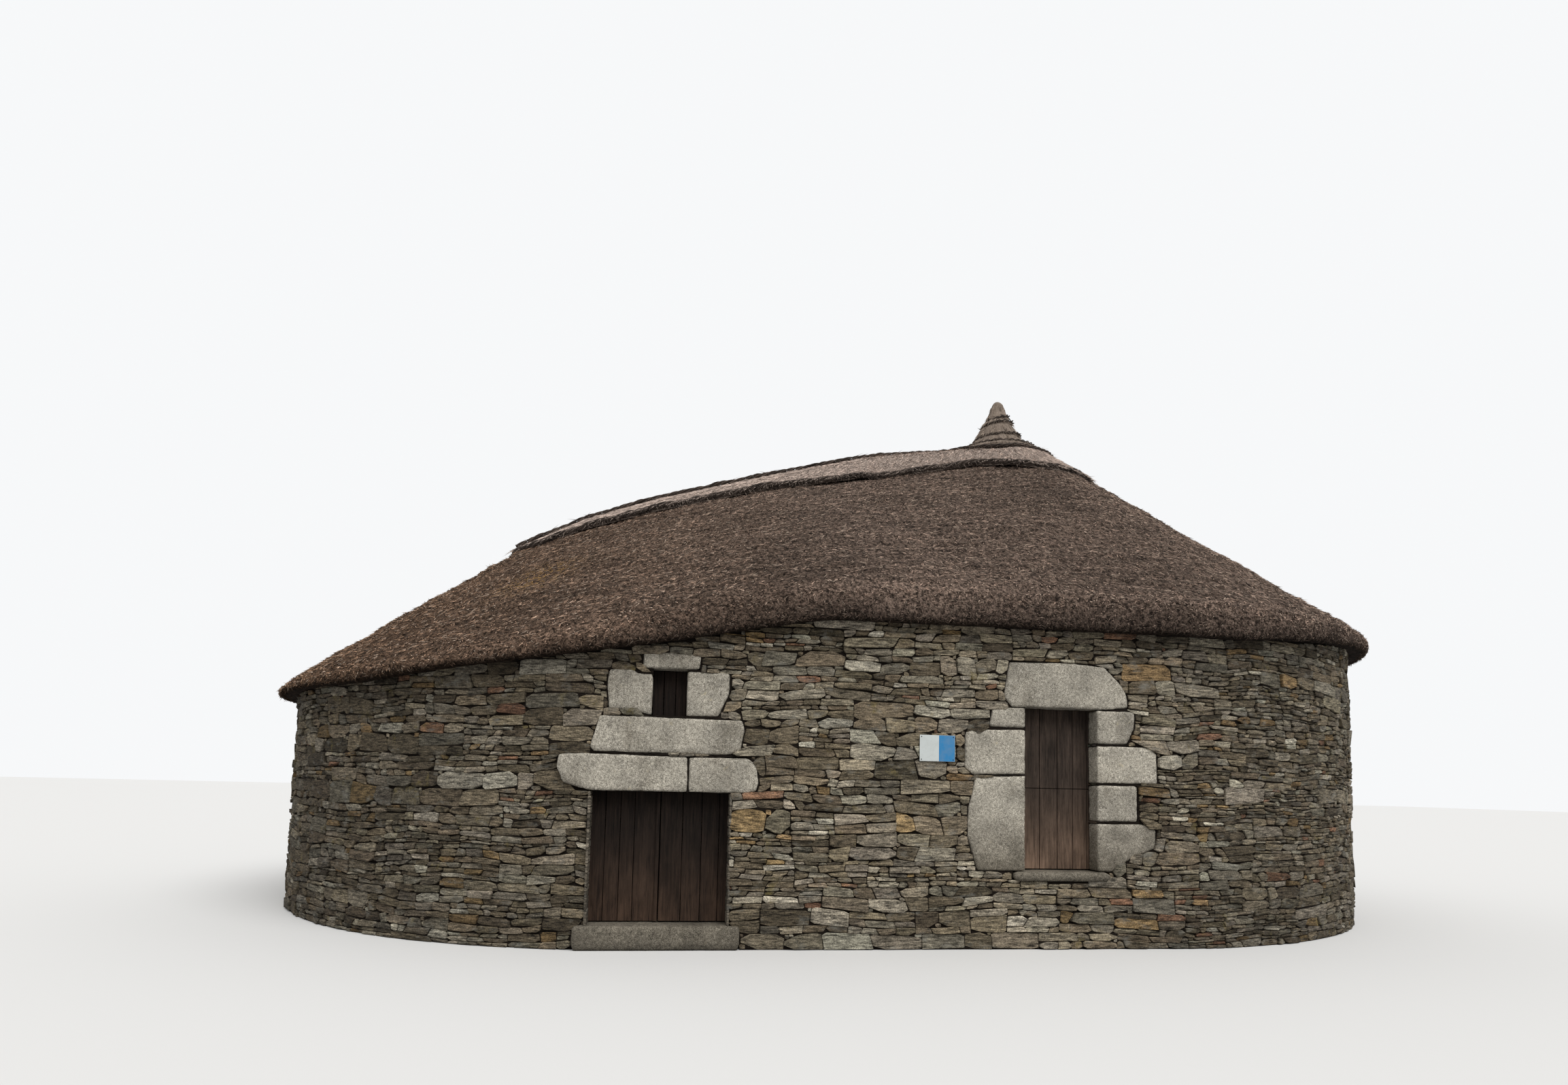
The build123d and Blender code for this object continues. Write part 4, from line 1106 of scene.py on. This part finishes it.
def stems(name, choose, amount):
    weight = (area * choose).ravel()
    r, c = np.unravel_index(rng.choice(weight.size, amount, p=weight / weight.sum()), area.shape)
    fu, fv = rng.random((2, amount, 1))
    nx = (c + 1) % NU
    upper = grid[r, c] * (1 - fu) + grid[r, nx] * fu
    lower = grid[r + 1, c] * (1 - fu) + grid[r + 1, nx] * fu
    p = upper * (1 - fv) + lower * fv
    down = unit(grid[r + 1, c] - grid[r, c])
    across = unit(grid[r, nx] - grid[r, c])
    norm = unit(np.cross(across, down))
    norm[np.where(r < NV - 1, norm[:, 2], (norm[:, :2] * outward[c]).sum(1)) < 0] *= -1
    eave = (r >= NV - 3)[:, None]
    spin = np.where(eave, rng.uniform(-2.2, 2.2, (amount, 1)), rng.normal(0, 0.85, (amount, 1)))
    along = down * np.cos(spin) + across * np.sin(spin)
    along = unit(np.where(eave, along + norm * 0.25, along))
    size = (0.03 + 0.095 * rng.beta(1.1, 2.2, amount)) * np.where(eave[:, 0], 0.55, 1.0)
    lift = rng.uniform(0.000, 0.016, amount)
    tint = thatch_tint(p) * np.clip(rng.lognormal(-0.08, 0.72, (amount, 1)), 0.12, 3.0)
    pale = rng.random(amount) < 0.16
    tint[pale] = tint[pale] * 0.5 + np.array((0.27, 0.215, 0.17)) * rng.uniform(0.6, 1.4, (pale.sum(), 1))
    # Painted shade on the stems that turn under the eave, and painted light on those round its edge.
    dark = np.clip((r - NV - 0.5) / 4.0, 0, 1)[:, None]
    tint = tint * (1 - 0.6 * dark) * np.where(eave & (dark < 0.3), 1.3, 1.0)
    gold = np.exp(-(((p[:, 0] - GOLD_X) / 0.42) ** 2 + ((p[:, 1] - GOLD_Y) / 0.5) ** 2))[:, None]
    gold = gold * (rng.random((amount, 1)) < 0.6)
    tint = tint * (1 - gold) + gold * GOLD
    grow = 1 + 0.6 * behind(p[:, 1])
    shape = spikes(p, along, norm, size * grow, rng.uniform(0.008, 0.018, amount) * grow, lift, tint)
    piece(name, shape, M_HEATHER, "thatch")


mid_x, mid_y = np.moveaxis(corner[..., :2], -1, 0)
under_cap = ((np.hypot(mid_x - END_X, mid_y) < CAP_R - 0.25)
             | (np.abs(mid_y) < np.interp(mid_x, CAP_X, CAP_Y, 0, 0) - 0.2))
density = ~under_cap * (1 - 0.7 * behind(mid_y))
SHARES = [("thatch_stems_left", (mid_x < -0.6) & (mid_y < 0.5)),
          ("thatch_stems_right", (mid_x >= -0.6) & (mid_y < 0.5)), ("thatch_stems_back", mid_y >= 0.5)]
for name, part in SHARES:
    stems(name, density * part, int(STEMS * (area * density * part).sum() / (area * density).sum()))


# Straw cap on the ridge

cap_tree = tree_of("ridge_cap")
cap_and_roof = tree_of("ridge_cap", "thatch")


def in_cap(x, y, grow):
    return (((x > CAP_X[0]) & (x < END_X) & (np.abs(y) < np.interp(x, CAP_X, CAP_Y) + grow))
            | (np.hypot(x - END_X, y) < CAP_R + grow))


def cap_stems(name, amount, edge_only, length):
    pts = []
    while len(pts) < amount:
        x = rng.uniform(-5.45, END_X + CAP_R + 0.05)
        y = rng.uniform(-CAP_R - 0.05, CAP_R + 0.05)
        if not in_cap(x, y, -0.01) or (edge_only and in_cap(x, y, -0.13)):
            continue
        hit = drop(cap_tree, x, y)
        if hit is not None and hit[1].z >= 0.3:
            pts.append((x, y, hit[0], *hit[1]))
    p, n = np.array(pts)[:, :3], np.array(pts)[:, 3:]
    down = n * (1, 1, 0)
    down[:, 1] += 1e-4 * np.sign(p[:, 1] + 1e-9)
    down = unit(down)
    along = unit(down - n * (down * n).sum(1, keepdims=True))
    across = np.cross(along, n)
    spin = rng.normal(0, 0.22, (amount, 1))
    along = along * np.cos(spin) + across * np.sin(spin)
    tint = np.array((0.46, 0.37, 0.315)) * (0.18 + 1.7 * rng.beta(2.0, 2.2, amount)[:, None])
    size = rng.uniform(*length, amount)
    width = rng.uniform(0.008, 0.018, amount)
    piece(name, spikes(p, along, n, size, width, rng.uniform(0.002, 0.03, amount), tint), M_STRAND, "straw")


cap_stems("cap_straw", 14000, False, (0.10, 0.26))
cap_stems("cap_fringe", 4500, True, (0.05, 0.10))
dress(M_STRAW, "ridge_cap")


# Ropes of twisted withies

ROPE_SIDES = 4
WITHY = np.array((0.070, 0.055, 0.046))


def draped(xy, lift):
    """Points a little above the cap or the thatch."""
    hits = [(x, y, drop(cap_and_roof, x, y)) for x, y in xy]
    return [(x, y, hit[0] + lift) for x, y, hit in hits if hit]


def rope(path, radius, strands, pitch, step=0.06, sway=0.0224):
    """Strands that wind round a path, as points, triangles and colours."""
    path = np.asarray(path, float)
    dist = distance_along(path)
    at = np.linspace(0, dist[-1], max(3, int(dist[-1] / step)))
    path = np.column_stack([np.interp(at, dist, path[:, k]) for k in range(3)])
    path = path + sway * np.column_stack([fnoise(path * 3.0, 81 + k) for k in range(3)])
    n = len(path)
    tangent = unit(np.gradient(path, axis=0))
    side = unit(np.cross(tangent, upright(n)))
    upper = np.cross(side, tangent)
    dist = distance_along(path)
    parts = []
    for k in range(strands):
        phi = 2 * math.pi * (dist / pitch + k / strands) + 0.6 * fnoise(path * 2.0, 90 + k)
        swing = radius * (0.62 + 0.30 * fnoise(path * 2.6, 190 + k))[:, None]
        centre = path + swing * (side * np.cos(phi)[:, None] + upper * np.sin(phi)[:, None])
        thick = radius * 0.42 * (1 + 0.35 * vnoise(path * 9.0, 95 + k))
        turns = [2 * math.pi * m / ROPE_SIDES for m in range(ROPE_SIDES)]
        ring = [centre + (side * math.cos(a) + upper * math.sin(a)) * thick[:, None] for a in turns]
        points = np.stack(ring, 1).reshape(-1, 3)
        tint = WITHY * rng.uniform(0.75, 1.5) * (1 + 0.5 * vnoise(points * 6.0, 99))[:, None]
        parts.append((points, tube(n, ROPE_SIDES), tint))
    return join(parts)


def edge_path(side, inset):
    xy = []
    for x in np.arange(CAP_X[0] + 0.04, END_X - 0.9, 0.08):
        y = side * (float(np.interp(x, CAP_X, CAP_Y)) - inset)
        if np.hypot(x - END_X, y) < CAP_R - inset:
            break
        xy.append((x, y))
    return draped(xy, 0.0)


def disc_path(radius, start, end, lift):
    angles = np.linspace(start, end, 60)
    return draped([(END_X + radius * math.cos(a), radius * math.sin(a)) for a in angles], lift)


def eased(path, times=8):
    """The same path with its corners rounded."""
    path = np.array(path, float)
    for _ in range(times):
        path[1:-1] = 0.25 * path[:-2] + 0.5 * path[1:-1] + 0.25 * path[2:]
    return path


INSET = 0.015
front_edge = edge_path(-1, INSET)
back_edge = edge_path(1, INSET)
join_a = math.atan2(front_edge[-1][1], front_edge[-1][0] - END_X)
loop_path = eased(front_edge + disc_path(CAP_R - INSET, join_a + 0.06, -join_a - 0.06, 0.0) + back_edge[::-1])
ridge_line = draped([(x, -0.05) for x in np.arange(-5.40, END_X - 0.72, 0.1)], 0.035)
ring_a = disc_path(0.97, -math.pi, math.pi, 0.035)
outwards = loop_path[:, :2].copy()
outwards[:, 0] -= np.clip(loop_path[:, 0], CAP_X[0], END_X)
outwards = unit(outwards)
loop_path[:, :2] += 0.03 * outwards
loop_path[:, 2] -= 0.035

# Ragged ends of straw that hang out under the rope at the cap's edge
amount = 1800
pick = rng.integers(1, len(loop_path) - 1, amount)
base = loop_path[pick] + rng.normal(0, 0.03, (amount, 3)) * (1, 1, 0.3)
base[:, 2] += rng.uniform(-0.03, 0.015, amount)
away = unit(np.column_stack([outwards[pick], np.full(amount, -0.62)]) + rng.normal(0, 0.30, (amount, 3)))
shade = np.array((0.21, 0.168, 0.14)) * rng.uniform(0.25, 1.5, (amount, 1))
hanging = spikes(base, away, upright(amount), rng.uniform(0.04, 0.13, amount),
                 rng.uniform(0.008, 0.016, amount), rng.uniform(-0.02, 0.0, amount), shade)
piece("cap_ragged_edge", hanging, M_STRAND, "straw")

parts = [rope(loop_path, 0.050, 4, 0.55), rope(ridge_line, 0.038, 4, 0.60), rope(ring_a, 0.036, 4, 0.50)]
stick_p, stick_d = [], []
for path in (loop_path, ridge_line, ring_a):
    path = np.array(path)
    for i in rng.choice(len(path) - 1, max(6, len(path) // 2), replace=False):
        stick_p.append(path[i] + (0, 0, 0.01))
        way = unit(path[i + 1] - path[i]) * rng.choice([-1, 1])
        stick_d.append(way + rng.normal(0, 0.13, 3) - (0, 0, 0.02))
ns = len(stick_p)
parts.append(spikes(np.array(stick_p), unit(np.array(stick_d)), upright(ns), rng.uniform(0.10, 0.26, ns),
                    rng.uniform(0.012, 0.022, ns), rng.uniform(0.0, 0.05, ns),
                    np.tile((0.085, 0.066, 0.055), (ns, 1))))
piece("cap_ropes", join(parts), M_WITHY, "withy", "ridge_ropes")


# Finial of tiers of bound straw

PROFILE = np.array([(0.80, 7.74), (0.80, 7.80), (0.66, 7.885), (0.64, 7.91), (0.50, 7.975), (0.385, 8.13),
                    (0.40, 8.15), (0.256, 8.385), (0.268, 8.41), (0.19, 8.50), (0.20, 8.52), (0.142, 8.64),
                    (0.10, 8.79), (0.05, 8.85), (0.004, 8.865)])          # radius, height
ROWS_UP, NA = 46, 72
dist = distance_along(PROFILE)
at = np.linspace(0, dist[-1], ROWS_UP)
pr, pz = (np.interp(at, dist, column) for column in PROFILE.T)
ang = np.broadcast_to(np.linspace(0, 2 * math.pi, NA, endpoint=False), (ROWS_UP, NA))
radial = np.stack([np.cos(ang), np.sin(ang), 0 * ang], -1)
fin = radial * pr[:, None, None] + np.stack([END_X + 0 * ang, 0 * ang, np.repeat(pz[:, None], NA, 1)], -1)
grooves = vnoise(np.stack([ang * 14, fin[..., 2] * 3, 0 * ang], -1), 102)
rough = 0.014 * fnoise(fin * 9.0, 101) + 0.010 * grooves
fin = (fin + radial * (rough * np.clip(pr / 0.1, 0, 1)[:, None])[..., None]).reshape(-1, 3)
tint = np.array((0.22, 0.175, 0.14)) * (1 + 0.35 * fnoise(fin * 8, 103))[:, None]
parts = [(fin, tube(ROWS_UP, NA), tint)]

amount = 3000
share = (pr[:-1] + 0.05) * (pz[:-1] < 8.76)
row = rng.choice(ROWS_UP - 1, amount, p=share / share.sum())
turn = rng.random(amount) * 2 * math.pi
cos, sin = np.cos(turn), np.sin(turn)
p = np.column_stack([END_X + pr[row] * cos, pr[row] * sin, pz[row]])
d_r, d_z = unit(np.column_stack([pr[row] - pr[row + 1], pz[row] - pz[row + 1]])).T
along = np.column_stack([cos * d_r, sin * d_r, d_z])
norm = np.column_stack([-cos * d_z, -sin * d_z, d_r])
along = unit(along + rng.normal(0, 0.10, along.shape))
tint = np.array((0.31, 0.25, 0.20)) * (0.25 + 1.4 * rng.beta(2.0, 2.2, amount)[:, None])
parts.append(spikes(p, along, norm, rng.uniform(0.05, 0.15, amount), rng.uniform(0.006, 0.012, amount),
                    rng.uniform(0.0, 0.012, amount), tint))
piece("finial_straw", join(parts), M_STRAND, "straw", "finial")

parts, stick_p, stick_d = [], [], []
for r, z, tilt, turn in ((0.66, 7.905, 0.020, 0.5), (0.40, 8.142, 0.050, 0.2),
                         (0.268, 8.40, 0.045, 0.0), (0.20, 8.51, 0.06, 0.1)):
    a = np.linspace(0.5 * math.pi, 2.5 * math.pi, 50)
    around_r = r + 0.012
    ring = np.column_stack([END_X + around_r * np.cos(a), around_r * np.sin(a), z + tilt * np.cos(a - turn)])
    parts.append(rope(ring, 0.027, 2, 0.22, 0.035, 0.0096))
    for k in range(3):
        b = rng.uniform(0, 2 * math.pi) if k else (math.pi + 0.3 if r < 0.3 else -0.2)
        cos, sin = math.cos(b), math.sin(b)
        stick_p.append((END_X + r * cos, r * sin, z + tilt * math.cos(b - turn)))
        stick_d.append((cos * 0.6 - sin * 0.9, sin * 0.6 + cos * 0.9, rng.uniform(-0.1, 0.3)))
ns = len(stick_p)
parts.append(spikes(np.array(stick_p), unit(np.array(stick_d)), upright(ns), rng.uniform(0.08, 0.17, ns),
                    np.full(ns, 0.026), np.zeros(ns), np.tile((0.07, 0.055, 0.045), (ns, 1))))
piece("finial_bindings", join(parts), M_WITHY, "withy", "finial_rings")


# Doors, shutter, ironwork and plate

LEAF_Y, BACK_Y, LEDGE_Y = -5.024, -4.979, -4.954        # front and back of the boards, back of the ledges
BOARD_GAP = 0.003
SOFT = 0.004             # rounding of the boards' edges
HOUSE_SEAMS = [-0.352, -0.162, 0.056, 0.247, 0.424]
STUD_SIDES = 14


def plank_box(x0, x1, y0, y1, z0, z1, soft, bow=0.0, seed=0):
    """Board with rounded edges, a little wavy along its length."""
    nz = max(2, int((z1 - z0) / 0.16))
    prof = [(x0, y0 + soft), (x0 + soft, y0), (x1 - soft, y0), (x1, y0 + soft), (x1, y1), (x0, y1)]
    rows = []
    for i, z in enumerate(np.linspace(z0, z1, nz + 1)):
        off = bow * vnoise(np.array([[z * 2.3, seed * 3.7, 0.0]]), 7)[0]
        rows += [(x + (off if 0 < i < nz else 0) * 0.5, y + (0.3 * off if y < y1 else 0), z) for x, y in prof]
    return np.array(rows), tube(nz + 1, len(prof))


def boarded(name, node, edges, y0, y1, lo, hi, material, body, extra=()):
    """Leaf made of upright boards, with the ledges of its CAD node behind."""
    parts = []
    for i, (left, right) in enumerate(zip(edges, edges[1:])):
        front = y0 + rng.uniform(0.0, 0.004)
        sizes = (left + BOARD_GAP, right - BOARD_GAP, front, y1, lo.z, hi.z)
        parts.append(plank_box(*sizes, SOFT, 0.004, i + 3))
    parts += [plank_box(*box, SOFT) for box in extra]
    piece(name, join(parts), material, "door_wood", node, body=body)


def ledges(lo, hi):
    across = (lo.x + 0.045, hi.x - 0.045, BACK_Y, LEDGE_Y)
    return [(*across, lo.z + 0.125, lo.z + 0.215), (*across, hi.z - 0.215, hi.z - 0.125)]


for node, name, body in (("house_door_lower", "house_boards_lower", "lower_leaf"),
                         ("house_door_upper", "house_boards_upper", "upper_leaf")):
    lo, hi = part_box(node)
    edges = [lo.x, *(HD_X + seam for seam in HOUSE_SEAMS), hi.x]
    boarded(name, node, edges, LEAF_Y, BACK_Y, lo, hi, M_HOUSE_WOOD, body, ledges(lo, hi))
for node, name, body, cuts in (
        ("stable_door_left", "stable_boards_left", "stable_leaf_left", (0, 0.27, 0.47, 0.66, 1)),
        ("stable_door_right", "stable_boards_right", "stable_leaf_right", (0, 0.3, 0.56, 0.80, 1))):
    lo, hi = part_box(node)
    edges = [lo.x + c * (hi.x - lo.x) for c in cuts]
    batten = [(hi.x - 0.040, hi.x, lo.y, LEAF_Y, lo.z, SD_HEAD - 0.012)] if "left" in name else []
    boarded(name, node, edges, LEAF_Y, BACK_Y, lo, hi, M_STABLE_WOOD, body, ledges(lo, hi) + batten)
lo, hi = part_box("window_shutter")
edges = [lo.x, lo.x + 0.12, lo.x + 0.25, hi.x]
boarded("shutter_boards", "window_shutter", edges, lo.y, hi.y, lo, hi, M_SHUTTER, "house")


def disc(cx, cy, cz, r, depth):
    """Round stud that stands out of a face towards -Y."""
    a = np.linspace(0, 2 * math.pi, STUD_SIDES, endpoint=False)
    rings = [np.column_stack([cx + k * np.cos(a), np.full(STUD_SIDES, y), cz + k * np.sin(a)])
             for k, y in ((r, cy), (r, cy - 0.6 * depth), (0.7 * r, cy - depth))]
    return np.vstack(rings + [[(cx, cy - depth, cz)]]), tube(3, STUD_SIDES, True)


lo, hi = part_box("house_door_lock")
cx, cz = (lo.x + hi.x) / 2, (lo.z + hi.z) / 2
parts = [plank_box(lo.x, hi.x, lo.y + 0.004, hi.y, lo.z, hi.z, 0.003),
         plank_box(lo.x + 0.006, lo.x + 0.024, lo.y, hi.y, lo.z + 0.03, hi.z - 0.03, 0.003)]
parts += [disc(cx + dx, lo.y + 0.005, cz + dz, 0.006, 0.004)
          for dx in (-0.026, 0.026) for dz in (-0.05, 0.05)]
parts.append(disc(cx + 0.012, lo.y + 0.005, cz, 0.013, 0.005))
piece("house_lock_plate", join(parts), M_IRON, "iron", "house_door_lock", body="upper_leaf")

lo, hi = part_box("info_sign")
blue = plank_box(lo.x + 0.545 * (hi.x - lo.x), hi.x - 0.002, lo.y - 0.0015, lo.y + 0.001, lo.z + 0.002,
                 hi.z - 0.002, 0.0005)
piece("sign_blue_field", blue, M_BLUE, "sign")
piece("sign_screws", join([disc(x, lo.y - 0.001, z, 0.006, 0.003) for x in (lo.x + 0.02, hi.x - 0.02)
                           for z in (lo.z + 0.02, hi.z - 0.02)]), M_IRON, "iron")

dress(M_IRON, "house_lower_straps", "house_upper_straps", "house_pintles", "stable_left_straps",
      "stable_right_straps", "stable_pintles")
dress(M_WHITE, "info_sign")
dress(M_TIMBER, "ridge_beam", "rafters_middle", "rafters_right", "rafters_left")
